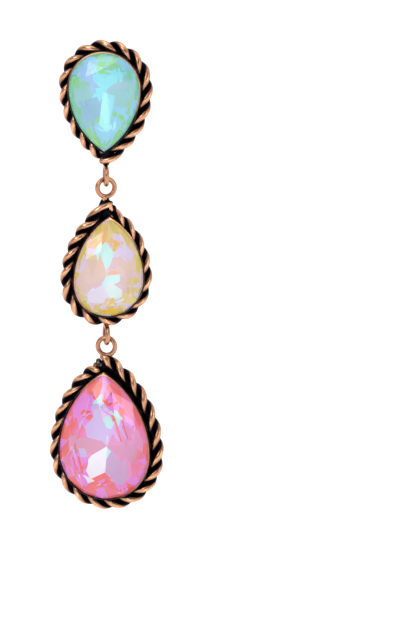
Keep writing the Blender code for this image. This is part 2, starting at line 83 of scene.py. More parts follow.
class Pear:
    """A pear outline: half a circle, and two longer arcs that meet at the tip."""

    def __init__(self, radius, tip):
        self.radius, self.tip = radius, tip
        self.side_radius = (tip**2 + radius**2) / (2 * radius)
        self.side_centre = radius - self.side_radius
        self.side = math.acos(-self.side_centre / self.side_radius) * self.side_radius
        self.half = self.side + math.pi / 2 * radius

    def at(self, distance):
        """Points and outward normals at distances round the outline, from the tip down the right side."""
        distance = np.mod(np.asarray(distance, float), 2 * self.half)
        left = distance > self.half
        down = np.where(left, 2 * self.half - distance, distance)
        on_side = down < self.side
        radius = np.where(on_side, self.side_radius, self.radius)
        angle = (self.side - down) / radius
        normal = np.stack([np.cos(angle), np.sin(angle)], -1)
        point = radius[..., None] * normal
        point[..., 0] += np.where(on_side, self.side_centre, 0.0)
        for vector in (point, normal):
            vector[..., 0] *= np.where(left, -1.0, 1.0)
        return point, normal

    def outline(self, offset, side_steps, round_steps):
        """Points of the outline moved outwards, from the tip down the right side and back up the left."""
        reach = self.side_radius + offset
        side = math.acos(-self.side_centre / reach) * (1 - np.arange(side_steps) / side_steps)
        right = np.stack([self.side_centre + reach * np.cos(side), reach * np.sin(side)], -1)
        turn = -math.pi * np.arange(round_steps + 1) / round_steps
        end = (self.radius + offset) * np.stack([np.cos(turn), np.sin(turn)], -1)
        return np.concatenate([right, end, right[1:][::-1] * (-1, 1)])

    def outside(self, points):
        """How far points lie outside the outline."""
        x, y = np.abs(points[:, 0]), points[:, 1]
        side = np.hypot(x - self.side_centre, np.maximum(y, 0)) - self.side_radius
        return np.where(y > 0, side, np.hypot(x, y) - self.radius)


class Tier:
    """The sizes of one tier that follow from its stone."""

    def __init__(self, name, body, crystal_slot, width, length, crests, rope_bite, rope_tip):
        self.name, self.body, self.crystal_slot = name, body, crystal_slot
        self.width, self.crests = width, crests
        self.pear = Pear(width / 2, length - width / 2)
        self.crown, self.pavilion = CROWN_SHARE * width, PAVILION_SHARE * width
        self.floor = GIRDLE + self.pavilion + FLOOR_GAP
        self.back = self.floor + FLOOR_THICKNESS
        self.rope_offset = ROPE_WIRE - rope_bite
        self.rope = Pear(self.pear.radius + self.rope_offset, self.pear.tip + rope_tip)

    def hang(self, reach):
        """From the middle of the round end up to the wire that the upper eye hangs on."""
        return self.rope.tip + reach + EYE_RADIUS - EYE_WIRE - EYE_GAP

    def hang_from(self, hinge, turn, reach):
        """Places the tier tip up below its hinge, turned about the vertical."""
        upright = Matrix.Translation(hinge) @ rotation(turn, "Z") @ rotation(90, "X")
        self.place = upright @ Matrix.Translation((0, -self.hang(reach), ROPE_BEHIND))


top = Tier("top", "top", "green_crystal", 10.0, 14.0, 17, 0.24, 1.0)
mid = Tier("mid", "middle", "peach_crystal", 10.0, 14.0, 17, 0.24, 1.0)
drop = Tier("drop", "drop", "coral_crystal", 13.0, 18.0, 21, 0.1, 1.8)
mid_hinge = Vector((0, ROPE_BEHIND - top.back, -(top.rope.tip + TOP_EYE_REACH + EYE_RADIUS)))
mid_fall = mid.hang(MID_UPPER_REACH) + mid.rope.radius + MID_LOWER_REACH + EYE_RADIUS
top.place = rotation(90, "X") @ rotation(180, "Z") @ Matrix.Translation((0, 0, top.back))
mid.hang_from(mid_hinge, MID_TURN, MID_UPPER_REACH)
drop.hang_from(mid_hinge - Vector((0, 0, mid_fall)), DROP_TURN, DROP_EYE_REACH)


# Small helpers for shader nodes


def feed(tree, node, **inputs):
    """Sets a node's inputs, named, or numbered i0, i1 and so on, and links those that are given a socket."""
    for name, value in inputs.items():
        socket = node.inputs[int(name[1:]) if name[1:].isdigit() else name.replace("_", " ")]
        if isinstance(value, bpy.types.NodeSocket):
            tree.links.new(value, socket)
        else:
            socket.default_value = value
    return node


def put(tree, kind, props=None, **inputs):
    """Adds a node with its properties and inputs."""
    node = tree.nodes.new(kind)
    for name, value in (props or {}).items():
        setattr(node, name, value)
    return feed(tree, node, **inputs)


def maths(tree, operation, first, second=0.0, clamp=False):
    props = {"operation": operation, "use_clamp": clamp}
    return put(tree, "ShaderNodeMath", props, i0=first, i1=second).outputs[0]


def smooth(tree, value, low, high, to_low=0.0, to_high=1.0):
    """An eased change from one value to another."""
    ends = {"From_Min": low, "From_Max": high, "To_Min": to_low, "To_Max": to_high}
    kind = {"interpolation_type": "SMOOTHSTEP"}
    return put(tree, "ShaderNodeMapRange", kind, Value=value, **ends).outputs[0]


def ramp(tree, value, stops):
    node = put(tree, "ShaderNodeValToRGB", None, Fac=value)
    elements = node.color_ramp.elements
    while len(elements) < len(stops):
        elements.new(0.5)
    for element, (place, colour) in zip(elements, stops):
        element.position = place
        element.color = (*colour, 1)
    return node.outputs[0]


def attribute(tree, name, output="Color"):
    return put(tree, "ShaderNodeAttribute", {"attribute_name": name}).outputs[output]


def coordinates(tree, output="Object"):
    return put(tree, "ShaderNodeTexCoord").outputs[output]


def noise(tree, vector, scale, detail=3.0, roughness=0.5):
    fineness = {"Scale": scale, "Detail": detail, "Roughness": roughness}
    return put(tree, "ShaderNodeTexNoise", None, Vector=vector, **fineness).outputs["Fac"]


def scaled(tree, vector, scale):
    return put(tree, "ShaderNodeVectorMath", {"operation": "MULTIPLY"}, i0=vector, i1=scale).outputs[0]


def split(tree, vector):
    return put(tree, "ShaderNodeSeparateXYZ", None, Vector=vector).outputs


def mix_colour(tree, factor, first, second):
    return put(tree, "ShaderNodeMix", {"data_type": "RGBA"}, i0=factor, i6=first, i7=second).outputs[2]


def new_material(name):
    material = bpy.data.materials.new(name)
    material.use_nodes = True
    return material, material.node_tree, material.node_tree.nodes["Principled BSDF"]


def bumped(tree, height, strength, distance):
    """A normal that follows a height."""
    return put(tree, "ShaderNodeBump", None, Height=height, Strength=strength, Distance=distance).outputs[0]


def swing(tree, value, amount):
    """A noise brought round zero, with this much of it."""
    return maths(tree, "MULTIPLY", maths(tree, "SUBTRACT", value, 0.5), amount)


def copper_material(name, stops, rough_low, rough_high):
    """Antiqued copper: its wear attribute is 1 where rubbing has bared the metal and 0 deep in a groove,
    where black patina stays. On the ropes it also carries painted light: a painted highlight along each crest
    and painted shade towards the cup.

    The attribute "wire" runs along and round each wire, so that drawing marks follow it.
    """
    material, tree, shader = new_material(name)
    place = coordinates(tree)
    blotch = noise(tree, place, 1300.0, 5.0, 0.62)
    drawn = noise(tree, scaled(tree, attribute(tree, "wire", "Vector"), (0.9, 9.0, 1.0)), 1.0, 4.0, 0.6)
    uneven = maths(tree, "ADD", attribute(tree, "worn", "Fac"), swing(tree, blotch, 0.42))
    level = maths(tree, "ADD", uneven, swing(tree, drawn, 0.38), True)
    height = maths(tree, "ADD", drawn, maths(tree, "MULTIPLY", noise(tree, place, 5200.0, 3.0, 0.6), 0.5))
    feed(
        tree,
        shader,
        Base_Color=ramp(tree, level, stops),
        Metallic=1.0,
        Roughness=smooth(tree, level, 0.2, 0.9, rough_high, rough_low),
        Normal=bumped(tree, height, 0.35, 0.00003),
    )
    return material


COPPER_STOPS = (
    (0.00, (0.0045, 0.0042, 0.009)),
    (0.28, (0.011, 0.008, 0.012)),
    (0.37, (0.1, 0.04, 0.026)),
    (0.47, (0.3, 0.132, 0.08)),
    (0.66, (0.43, 0.2, 0.114)),
    (0.86, (0.58, 0.296, 0.166)),
    (1.00, (0.84, 0.485, 0.285)),
)
SOLDER_STOPS = (
    (0.00, (0.004, 0.004, 0.008)),
    (0.45, (0.012, 0.01, 0.014)),
    (0.62, (0.05, 0.04, 0.045)),
    (0.8, (0.22, 0.14, 0.11)),
    (1.00, (0.58, 0.38, 0.28)),
)
CLUTCH_STOPS = (
    (0.00, (0.01, 0.007, 0.01)),
    (0.3, (0.04, 0.018, 0.016)),
    (0.5, (0.13, 0.06, 0.048)),
    (0.75, (0.36, 0.18, 0.125)),
    (1.00, (0.66, 0.36, 0.23)),
)
antique = copper_material("antique_copper_worn", COPPER_STOPS, 0.23, 0.46)
solder = copper_material("blackened_solder", SOLDER_STOPS, 0.3, 0.55)
brushed = copper_material("brushed_copper_worn", CLUTCH_STOPS, 0.3, 0.48)


def steel_material(name):
    """Drawn steel wire, with marks along it."""
    material, tree, shader = new_material(name)
    place = coordinates(tree)
    marks = noise(tree, scaled(tree, place, (9000.0, 500.0, 9000.0)), 1.0, 4.0, 0.6)
    cloud = noise(tree, place, 700.0, 4.0, 0.6)
    level = maths(tree, "ADD", maths(tree, "MULTIPLY", marks, 0.6), maths(tree, "MULTIPLY", cloud, 0.4))
    feed(
        tree,
        shader,
        Base_Color=ramp(tree, level, ((0.3, (0.36, 0.32, 0.37)), (0.7, (0.68, 0.61, 0.68)))),
        Metallic=1.0,
        Roughness=smooth(tree, marks, 0.3, 0.7, 0.18, 0.3),
        Normal=bumped(tree, marks, 0.25, 0.00002),
    )
    return material


def foil_material(name):
    """The coated back of a stone, seen through its crown, which also glows a little as painted light.

    Each facet has one pearly colour that drifts to a second one. Towards the rim splinters of a third break
    it up, painted reflections from inside the stone, which in a facet that stays whole is its own colour. The
    attribute "flat" is the place on the stone from its culet, in half widths.
    """
    material, tree, shader = new_material(name)
    drift = smooth(tree, noise(tree, coordinates(tree), 260.0, 2.0), 0.35, 0.75)
    whole = mix_colour(tree, drift, attribute(tree, "facet"), attribute(tree, "sheen"))
    flat = split(tree, attribute(tree, "flat", "Vector"))
    x, y = flat["X"], flat["Y"]
    squares = maths(tree, "ADD", maths(tree, "MULTIPLY", x, x), maths(tree, "MULTIPLY", y, y))
    reach = maths(tree, "SQRT", squares)
    # Painted reflections: cells of the third colour, stretched round the culet, break up each facet towards
    # the rim.
    polar = put(tree, "ShaderNodeCombineXYZ", None, X=maths(tree, "ARCTAN2", y, x), Y=reach).outputs[0]
    kind = {"voronoi_dimensions": "2D", "feature": "F1"}
    cells = put(tree, "ShaderNodeTexVoronoi", kind, Vector=scaled(tree, polar, (4.6, 3.4, 1.0)), Scale=1.0)
    reflection_cells = maths(tree, "LESS_THAN", split(tree, cells.outputs["Color"])["X"], 0.36)
    share = maths(tree, "MULTIPLY", reflection_cells, smooth(tree, reach, 0.42, 0.8))
    colour = mix_colour(tree, share, whole, attribute(tree, "splinter"))
    # Painted glow: the facet colours are also emitted, to brighten a back that the crown keeps from the
    # lamps.
    feed(tree, shader, Base_Color=colour, Emission_Color=colour, Emission_Strength=0.215)
    feed(tree, shader, Metallic=0.2, Roughness=0.55)
    return material


def crystal_material(name):
    """The clear crown, with a breath of the coating's colour."""
    material, tree, shader = new_material(name)
    cloud = smooth(tree, noise(tree, coordinates(tree), 400.0, 2.0), 0.2, 0.9, 0.0, 0.06)
    tint = mix_colour(tree, cloud, attribute(tree, "facet"), (1.0, 1.0, 1.0, 1.0))
    feed(tree, shader, Base_Color=tint, Roughness=0.015, IOR=1.53)
    feed(tree, shader, Transmission_Weight=1.0, Specular_IOR_Level=0.06)
    return material


steel = steel_material("drawn_steel")
foil = foil_material("pearl_foil")
crystal = crystal_material("clear_crystal")


# Meshes, in a tier's own millimetres until they are placed


def add_object(name, data):
    obj = bpy.data.objects.new(name, data)
    bpy.context.scene.collection.objects.link(obj)
    return obj


def finish_piece(name, body, slot, mesh, place, materials):
    """Places a mesh in the shared frame and lets it ride on its body. Its object stays at the origin."""
    mesh.transform(Matrix.Scale(MM, 4) @ place)
    cleaner = bmesh.new()
    cleaner.from_mesh(mesh)
    bmesh.ops.remove_doubles(cleaner, verts=cleaner.verts, dist=5e-7)
    bmesh.ops.recalc_face_normals(cleaner, faces=cleaner.faces)
    cleaner.to_mesh(mesh)
    cleaner.free()
    for material in materials:
        mesh.materials.append(material)
    obj = add_object(name, mesh)
    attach(obj, body)
    return obj


def make(name, body, slot, verts, faces, place, material, worn, wire):
    """A smooth piece of metal from arrays, with the two attributes that its material reads."""
    mesh = bpy.data.meshes.new(name)
    mesh.from_pydata(verts.tolist(), [], faces)
    for key, kind, field, values in (
        ("worn", "FLOAT", "value", np.clip(worn, 0, 1)),
        ("wire", "FLOAT_VECTOR", "vector", wire),
    ):
        layer = mesh.attributes.new(key, kind, "POINT")
        layer.data.foreach_set(field, np.asarray(values, np.float32).ravel())
    mesh.polygons.foreach_set("use_smooth", [True] * len(mesh.polygons))
    return finish_piece(name, body, slot, mesh, place, [material])


def make_metal(tier, name, verts, faces, worn, wire, material=antique, turn=Matrix.Identity(4)):
    """A piece of a tier's setting."""
    return make(name, tier.body, "antique_copper", verts, faces, tier.place @ turn, material, worn, wire)


def ring_faces(rings, sides, closed=False, start=0):
    """Quads between successive rings of one count of points."""
    a = np.arange(rings if closed else rings - 1)[:, None] * sides
    b = np.arange(sides)[None, :]
    after, beside = (a + sides) % (rings * sides), (b + 1) % sides
    return (np.stack([a + b, a + beside, after + beside, after + b], -1).reshape(-1, 4) + start).tolist()


def capped(rings, sides, start=0):
    """The same with a polygon over each end."""
    ends = (start, start + (rings - 1) * sides)
    return ring_faces(rings, sides, start=start) + [list(range(end, end + sides)) for end in ends]


def unit(vectors):
    return vectors / np.linalg.norm(vectors, axis=-1, keepdims=True)


def circle(count):
    """Even turns round a circle."""
    return 2 * math.pi * np.arange(count) / count


def step(x, low, high):
    t = np.clip((x - low) / (high - low), 0, 1)
    return t * t * (3 - 2 * t)


def rounded(share, least):
    """How full a round end is, by the share of its length from its very end."""
    return np.sqrt(np.clip(1 - (1 - np.clip(share, 0, 1)) ** 2, least, 1))


def tube(centres, radii, outward, sides):
    """Rings of points round a line, with the turn of each point from an outward direction."""
    tangent = unit(np.gradient(centres, axis=0))
    first = unit(outward - (outward * tangent).sum(-1, keepdims=True) * tangent)
    second = np.cross(tangent, first)
    turn = circle(sides)
    ring = first[:, None] * np.cos(turn)[None, :, None] + second[:, None] * np.sin(turn)[None, :, None]
    return (centres[:, None] + radii[:, None, None] * ring).reshape(-1, 3), turn


# Ropes

STRAND_SIDES, STRAND_STEP, STRAND_END = 22, 0.11, 0.5
STRAND_FULLNESS, STRAND_REACH = 0.925, 0.935  # a strand's radius and its line's, of the wire's
# Painted shade: the strands are painted darker towards the cup, lifting from this distance outside the stone.
PAINTED_SHADE_FROM = 0.3  # outside the stone, where the rope begins to come out of the cup's shade
WOBBLE, SWAY, KNOTS = 0.035, 0.004, 24  # uneven twist and reach of the strands, and at how many places
TIP_EASE = 0.95  # the rope's corner at the tip is eased over this length each way
# The web: its start outside the stone, its lap over rope and wall, its place behind the rope, half its depth
WEB_INSIDE, WEB_OVERLAP, WEB_BEHIND, WEB_HALF = 0.05, 0.12, 0.22, 0.36

# How far the crests lie along from an even twist, in steps from crest to crest: at shares of the way round
CREST_DRIFT = {
    "top": (
        (0, 0.05, 0.1, 0.2, 0.3, 0.4, 0.5, 0.65, 0.75, 0.85, 0.9, 0.95, 1),
        (-0.05, -0.32, -0.42, -0.38, -0.35, -0.24, -0.1, -0.01, 0.12, 0.27, 0.32, 0.28, 0.15),
    ),
    "mid": (
        (0, 0.08, 0.15, 0.25, 0.35, 0.45, 0.55, 0.65, 0.75, 0.85, 0.92, 1),
        (-0.05, -0.12, 0.02, 0.16, 0.46, 0.68, 0.92, 1.11, 1.25, 1.23, 1.15, 1.0),
    ),
    "drop": (
        (0, 0.05, 0.15, 0.2, 0.25, 0.3, 0.4, 0.5, 0.6, 0.7, 0.8, 0.9, 1),
        (-0.03, 0, 0.1, 0.19, 0.34, 0.38, 0.32, 0.3, 0.39, 0.54, 0.67, 0.83, 0.88),
    ),
}


def rope_path(tier, samples=6000):
    """The rope's centreline with its corner at the tip eased, as a table over the distance round the tier."""
    whole = 2 * tier.rope.half
    s = np.arange(samples) / samples * whole
    point, _ = tier.rope.at(s)
    width = int(TIP_EASE / whole * samples)
    kernel = np.hanning(2 * width + 1)
    kernel /= kernel.sum()
    padded = np.concatenate([point[-width:], point, point[:width]])
    eased = np.stack([np.convolve(padded[:, k], kernel, "valid") for k in range(2)], -1)
    near = 1 - step(np.minimum(s, whole - s), 0.9, 2.4)
    return s, point * (1 - near[:, None]) + eased * near[:, None]


def read_line(place, table, points):
    return np.stack([np.interp(place, table, points[:, k]) for k in range(2)], -1)


def add_rope(tier, start, end, start_pull=(0, 0, 1.8), end_pull=(0, 0, 1.8), cut=((0, 0), (0, 0))):
    """Two round wires twisted together, from a distance past the tip on the right to one past it on the left.

    A pull draws an end of the rope off its line, sideways and along the tier, over a length of the rope. The
    cut is what each wire lacks at the rope's start and at its end.
    """
    table, path = rope_path(tier)
    whole, radius = 2 * tier.rope.half, ROPE_WIRE / 2
    count = int((whole - start + end) / STRAND_STEP)
    s = start + (whole - start + end) * np.arange(count + 1) / count
    first, last = s[0], s[-1]
    centre = read_line(np.mod(s, whole), np.append(table, whole), np.concatenate([path, path[:1]]))
    for pull, run in ((start_pull, s - first), (end_pull, last - s)):
        centre = centre + (1 - step(run, 0, pull[2]))[:, None] * np.array(pull[:2], float)
    tangent = unit(np.gradient(centre, axis=0))
    normal = np.stack([-tangent[:, 1], tangent[:, 0]], -1)
    share = (s - ROPE_SHORT) / (whole - 2 * ROPE_SHORT)
    rng = np.random.default_rng(7 + int(tier.width * 10) + len(tier.name))
    knots = np.linspace(first, last, KNOTS)
    wobble = np.interp(s, knots, rng.normal(0, WOBBLE, KNOTS))
    wobble -= math.pi * np.interp(share, *CREST_DRIFT[tier.name])
    sway = np.interp(s, knots, rng.normal(0, SWAY, KNOTS))
    base = np.concatenate([centre, np.full((len(s), 1), -ROPE_BEHIND)], 1)
    rope = (s, base, normal, share, wobble, sway)
    verts, faces, worn, wire = [], [], [], []
    for strand in range(2):
        kept = (rope[0] >= first + cut[strand][0]) & (rope[0] <= last - cut[strand][1])
        s, base, normal, share, wobble, sway = (values[kept] for values in rope)
        phase = ROPE_START + math.pi * tier.crests * share + math.pi * strand + wobble
        out = np.concatenate([normal * np.cos(phase)[:, None], np.sin(phase)[:, None]], 1)
        line = base + radius * (STRAND_REACH + sway[:, None]) * out
        close = rounded(np.minimum(s - s[0], s[-1] - s) / STRAND_END, 0.0004)
        points, turn = tube(line, radius * STRAND_FULLNESS * close, out, STRAND_SIDES)
        faces += capped(len(s), STRAND_SIDES, sum(len(done) for done in verts))
        from_axis = np.linalg.norm(points - np.repeat(base, STRAND_SIDES, 0), axis=1) / ROPE_WIRE
        inner = (tier.pear.outside(points[:, :2]) - PAINTED_SHADE_FROM) / (tier.rope_offset - PAINTED_SHADE_FROM)
        # Bare copper on the crests and black patina in the grooves; the brightest band along the middle of
        # each crest is in part a painted highlight.
        bare = 0.54 * step(from_axis, 0.66, 0.79) + 0.4 * step(from_axis, 0.79, 0.95)
        # Painted shade: strands are darker near the cup and towards the back of the rope.
        bare *= step(inner + 0.3 * (points[:, 2] + ROPE_BEHIND), -0.1, 0.38)
        worn.append(bare)
        along, around = np.repeat(s, STRAND_SIDES), np.tile(turn, len(s))
        wire.append(np.stack([along, np.cos(around) * 0.6 + 3 * strand, np.sin(around) * 0.6], -1))
        verts.append(points)
    attributes = (np.concatenate(worn), np.concatenate(wire))
    make_metal(tier, tier.name + "_rope", np.concatenate(verts), faces, *attributes)


def add_web(tier):
    """Dark solder that fills the valley between the cup and its rope."""
    rings, sides = 260, 18
    share = np.arange(rings) / rings
    inner, _ = tier.pear.at(share * 2 * tier.pear.half)
    across = read_line(share * 2 * tier.rope.half, *rope_path(tier)) - inner
    rng = np.random.default_rng(71 + int(tier.width) + len(tier.body))
    width = np.linalg.norm(across, axis=1)
    direction = across / width[:, None]
    half = (width - WEB_INSIDE) / 2
    middle = inner + direction * (WEB_INSIDE + half)[:, None]
    u = circle(sides)
    lumps = np.zeros((rings, sides))
    for k in range(9):
        ripple = 2 * math.pi * rng.integers(14, 60) * share[:, None]
        lumps += rng.uniform(0.3, 1.0) * np.sin(ripple + rng.integers(1, 4) * u[None] + k)
    size = 1 + 0.05 * lumps
    radial = (half + WEB_OVERLAP)[:, None] * np.cos(u)[None] * size
    z = -ROPE_BEHIND - WEB_BEHIND + WEB_HALF * np.sin(u)[None] * size
    flat = middle[:, None] + direction[:, None] * radial[..., None]
    points = np.concatenate([flat, z[..., None]], -1).reshape(-1, 3)
    faces = ring_faces(rings, sides, closed=True)
    make_metal(tier, tier.name + "_web", points, faces, (0.25 + 0.1 * lumps).ravel(), points * 0.5, solder)


# Cups

CUP_STEPS = 70, 80
BACK_RIM = 0.32  # width of the raised rim round the cup's flat back
LIP_WAVE = 0.016  # unevenness of the lip
TUCK = 0.05  # how far a lip that doesn't show is drawn in and back
TIP_FOLD = 0.2  # how far the lip folds in over the stone's tip
# Across and forwards from the edge of the back, and how bare, up the back's rim to the wall
RIM_ROWS = (
    (-0.26, 0.055, 0.3), (-0.2, 0.012, 0.55), (-0.12, 0, 0.86), (-0.03, 0.03, 0.86), (0.02, 0.12, 0.7),
    (0.68, 1.05, 0.35),
)
# Outwards from the stone's outline, forwards from its girdle, and how bare, over the lip
LIP_ROWS = (
    (0.31, -0.65, 0), (0.3, -0.28, 0), (0.28, -0.1, 0), (0.26, 0.02, 0.02), (0.23, 0.1, 0.1),
    (0.195, 0.155, 0.45), (0.145, 0.185, 0.84), (0.09, 0.19, 1), (0.035, 0.17, 1), (-0.005, 0.125, 0.95),
    (-0.025, 0.07, 0.7), (0.02, 0.01, 0.05), (0.07, -0.1, 0),
)
# How much of the lip shows bare copper, at shares of the way round from the tip
LIP_SHOWN = {
    "top": ((0, 0.1, 0.34, 0.42, 0.55, 0.74, 0.8, 1), (0.1, 0.1, 0.35, 1, 1, 0.9, 0.2, 0.1)),
    "mid": ((0, 0.13, 0.18, 0.45, 0.55, 0.62, 1), (1, 0.9, 0.3, 0.25, 0.15, 0.9, 1)),
    "drop": ((0, 0.1, 0.4, 0.47, 0.88, 0.93, 1), (1, 0.7, 0.8, 0.2, 0.1, 0.7, 1)),
}


def add_cup(tier):
    """The cup that holds the stone: recessed back, flared wall, and a thin lip over the stone's edge."""
    field = tier.pear.radius - BACK_TAPER - 0.9
    back = [(-BACK_RIM - field * (1 - k / 9), 0.07, 0.62) for k in range(10)]
    sections = [(x - BACK_TAPER, z - tier.back, bare) for x, z, bare in (*back, *RIM_ROWS)]
    sections += [(ROPE_SEAT - 0.02, -ROPE_BEHIND - 0.1, 0.05), (ROPE_SEAT, -ROPE_BEHIND, 0)]
    sections += [(ROPE_SEAT + 0.06, -ROPE_BEHIND + 0.5, 0), *LIP_ROWS, (SEAT_GAP, -GIRDLE, 0)]
    sections += [(-BEZEL_WALL, -ROPE_BEHIND, 0), (-BEZEL_WALL - 0.6, -tier.floor, 0)]
    count = len(tier.pear.outline(0.0, *CUP_STEPS))
    share = np.arange(count) / count
    shown = np.interp(share, *LIP_SHOWN[tier.name])
    near_tip = 1 - step(np.minimum(share, 1 - share), 0.001, 0.018)
    rng = np.random.default_rng(31 + int(tier.width))
    wave = np.zeros(count)
    for k in (3, 5, 8, 13, 21, 34):
        wave += rng.uniform(0.3, 1.0) / k * np.sin(2 * math.pi * (k * share + rng.random()))
    wave *= LIP_WAVE
    rings, worn, wire = [], [], []
    for offset, height, bare in sections:
        lip = float(step(height, -0.35, 0.1))
        tucked = TUCK * lip * (1 - shown)
        folded = TIP_FOLD * lip * shown * near_tip * (offset < 0.06 and height > 0.03)
        outline = tier.pear.outline(offset, *CUP_STEPS)
        outward = unit(outline - tier.pear.outline(offset - 0.05, *CUP_STEPS))
        outline = outline + outward * (wave * lip - tucked * (offset > 0.1) - folded)[:, None]
        z = height + wave * 1.1 * lip - tucked + 0.55 * folded
        rings.append(np.concatenate([outline, z[:, None]], 1))
        worn.append((bare + 2.0 * wave * lip) * (1 - lip + lip * (0.14 + 0.86 * shown)))
        marks = (share * 2 * tier.pear.half, offset * 2, height)
        if height < 0.2 - tier.back:
            marks = (outline[:, 0] * 0.35, outline[:, 1] * 1.1, 9.0)
        wire.append(np.stack(np.broadcast_arrays(*marks), -1))
    attributes = (np.concatenate(worn), np.concatenate(wire))
    faces = capped(len(sections), count)
    cup = make_metal(tier, tier.name + "_cup", np.concatenate(rings), faces, *attributes)
    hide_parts(tier.name + "_setting")


# Eyes and solder


def add_eye(tier, name, height, facing):
    """A ring of round wire in the rope's plane."""
    rings, sides = 72, 20
    u, v = circle(rings), circle(sides)
    outward = np.stack([np.cos(u), np.sin(u), np.zeros(rings)], -1)
    ring = outward[:, None] * np.cos(v)[None, :, None] + np.array((0, 0, 1.0)) * np.sin(v)[None, :, None]
    radius = EYE_WIRE / 2 * (1 - 0.012 * (1 + np.sin(3 * u + 1)))
    verts = ((outward * EYE_RADIUS)[:, None] + radius[:, None, None] * ring).reshape(-1, 3)
    turn = Matrix.Translation((0, height, -ROPE_BEHIND)) @ rotation(facing, "Y")
    inner = np.tile(0.5 - 0.5 * np.cos(v), rings)
    wire = np.stack([np.repeat(u * EYE_RADIUS, sides), np.tile(v * 0.3, rings), 0 * inner], -1)
    make_metal(tier, name, verts, ring_faces(rings, sides, True), 0.77 - 0.3 * inner**2, wire, turn=turn)


def add_blob(tier, name, low, high, radius, depth, seed, worn=0.2, across=0.0, material=solder):
    """A lump of solder between two heights in the rope's plane, or of copper."""
    rng = np.random.default_rng(seed)
    rings, sides = 26, 28
    t, u = math.pi * (np.arange(rings) + 0.5) / rings, circle(sides)
    x, z = np.sin(t)[:, None] * np.cos(u)[None], np.sin(t)[:, None] * np.sin(u)[None]
    points = np.stack([x, np.cos(t)[:, None] * np.ones(sides)[None], z], -1).reshape(-1, 3)
    lumps = np.zeros(len(points))
    for _ in range(9):
        direction = unit(rng.normal(size=3))
        lumps += rng.uniform(0.4, 1.0) * np.sin(points @ direction * rng.uniform(3, 8) + rng.uniform(0, 6))
    shape = points * (1 + 0.035 * lumps)[:, None] * np.array((radius, (high - low) / 2, depth))
    shape += ((across, (low + high) / 2, -ROPE_BEHIND),)
    make_metal(tier, name, shape, capped(rings, sides), worn + 0.05 * lumps, points * 0.5, material)


def add_stub(tier, name, first, second, third, radius):
    """A short end of wire, bent through three points of the tier's frame."""
    rings, sides = 26, 18
    t = np.linspace(0, 1, rings)[:, None]
    first, second, third = (np.array(v, float) for v in (first, second, third))
    line = first * (1 - t) ** 2 + 2 * second * t * (1 - t) + third * t**2
    run = np.minimum(t[:, 0], 1 - t[:, 0]) * np.linalg.norm(third - first)
    outward = np.tile((0.0, 0.0, 1.0), (rings, 1))
    points, turn = tube(line, radius * rounded(run / (0.8 * radius), 0.003), outward, sides)
    bare = 0.94 * step(np.tile(np.cos(turn), rings), -0.45, 0.35)
    wire = np.stack([np.repeat(t[:, 0] * 2, sides), np.tile(turn * 0.3, rings), 0 * bare], -1)
    make_metal(tier, name, points, capped(rings, sides), bare, wire)


# Stones

GIRDLE_LABEL, TABLE_LABEL = 1, 2
KITE, STAR, RIM, MAIN, WEDGE, BETWEEN, BEYOND, LOWER = 10, 30, 50, 100, 120, 140, 160, 180
# How steep the back's rows of facets are, and how much deeper at the culet the plane of the third would lie
STAR_STEEP, BETWEEN_STEEP, BEYOND_STEEP, BEYOND_DEEPER = 0.75, 1.054, 1.5, 0.02
EDGE_STEPS = 56, 64
TABLE_DROP = 0.0002  # keeps the table inside the solid stone's
WHOLE_BLUSH, BROKEN_BLUSH, BRIGHT = 0.08, 0.26, 1.95


def mirrored(corners):
    """The girdle points of the right half, with those of the left half after them."""
    return corners + [(p * (-1, 1), n * (-1, 1)) for p, n in reversed(corners[1:-1])]


def line_crossing(first, second, first_inset, second_inset):
    """Where the tangents at two girdle points cross, once each has moved inwards by its inset."""
    (p, n), (q, m) = first, second
    a, b = n @ p - first_inset, m @ q - second_inset
    return np.array((a * m[1] - b * n[1], n[0] * b - m[0] * a)) / (n[0] * m[1] - n[1] * m[0])


def halve(polygon, side):
    """The parts of a convex polygon where the values at its corners are negative, and where positive."""
    parts = ([], [])
    for k, corner in enumerate(polygon):
        after = (k + 1) % len(polygon)
        crossing = side[k] * side[after] < 0
        for sign, part in zip((-1, 1), parts):
            if sign * side[k] >= 0:
                part.append(corner)
            if crossing:
                part.append(corner + side[k] / (side[k] - side[after]) * (polygon[after] - corner))
    return [np.array(part).reshape(-1, 3) for part in parts]


def recolour(parts, outline, colours):
    """Gives other colours to what lies within a convex outline, and keeps the polygons beside it."""
    middle = outline.mean(0)
    done = []
    for old, polygon in parts:
        for one, two in zip(outline, np.roll(outline, -1, 0)):
            if len(polygon) < 3:
                break
            across = np.array((one[1] - two[1], two[0] - one[0]))
            across *= -np.sign(across @ (middle - one))
            polygon, beside = halve(polygon, (polygon[:, :2] - one) @ across)
            if len(beside) > 2:
                done.append((old, beside))
        if len(polygon) > 2:
            done.append((colours, polygon))
    return done


class Gem:
    """A convex stone as the planes that bound it, each with the label of its facet."""

    def __init__(self):
        self.normals, self.levels, self.labels = [], [], []

    def add(self, label, *corners):
        """A facet through three points, on the side away from the stone's middle."""
        first, second, third = np.array(corners, float)
        normal = unit(np.cross(second - first, third - first))
        if normal @ (np.array((0, 0, -GIRDLE / 2)) - first) > 0:
            normal = -normal
        self.normals.append(normal)
        self.levels.append(normal @ first)
        self.labels.append(label)

    def facets(self):
        """The polygon of each plane that is left by all the others, with its label."""
        normals, levels = np.array(self.normals), np.array(self.levels)
        wide = 60 * np.array(((-1, -1), (1, -1), (1, 1), (-1, 1)))
        for i, label in enumerate(self.labels):
            across = unit(np.cross(normals[i], (0.3, 0.5, 0.8)))
            polygon = normals[i] * levels[i] + wide @ np.array((across, np.cross(normals[i], across)))
            while len(polygon) > 2:
                sides = polygon @ normals.T - levels
                worst = sides.max(0)
                worst[i] = 0
                j = int(worst.argmax())
                if worst[j] < 1e-7:
                    break
                polygon, _ = halve(polygon, sides[:, j])
            if len(polygon) > 2:
                yield label, polygon


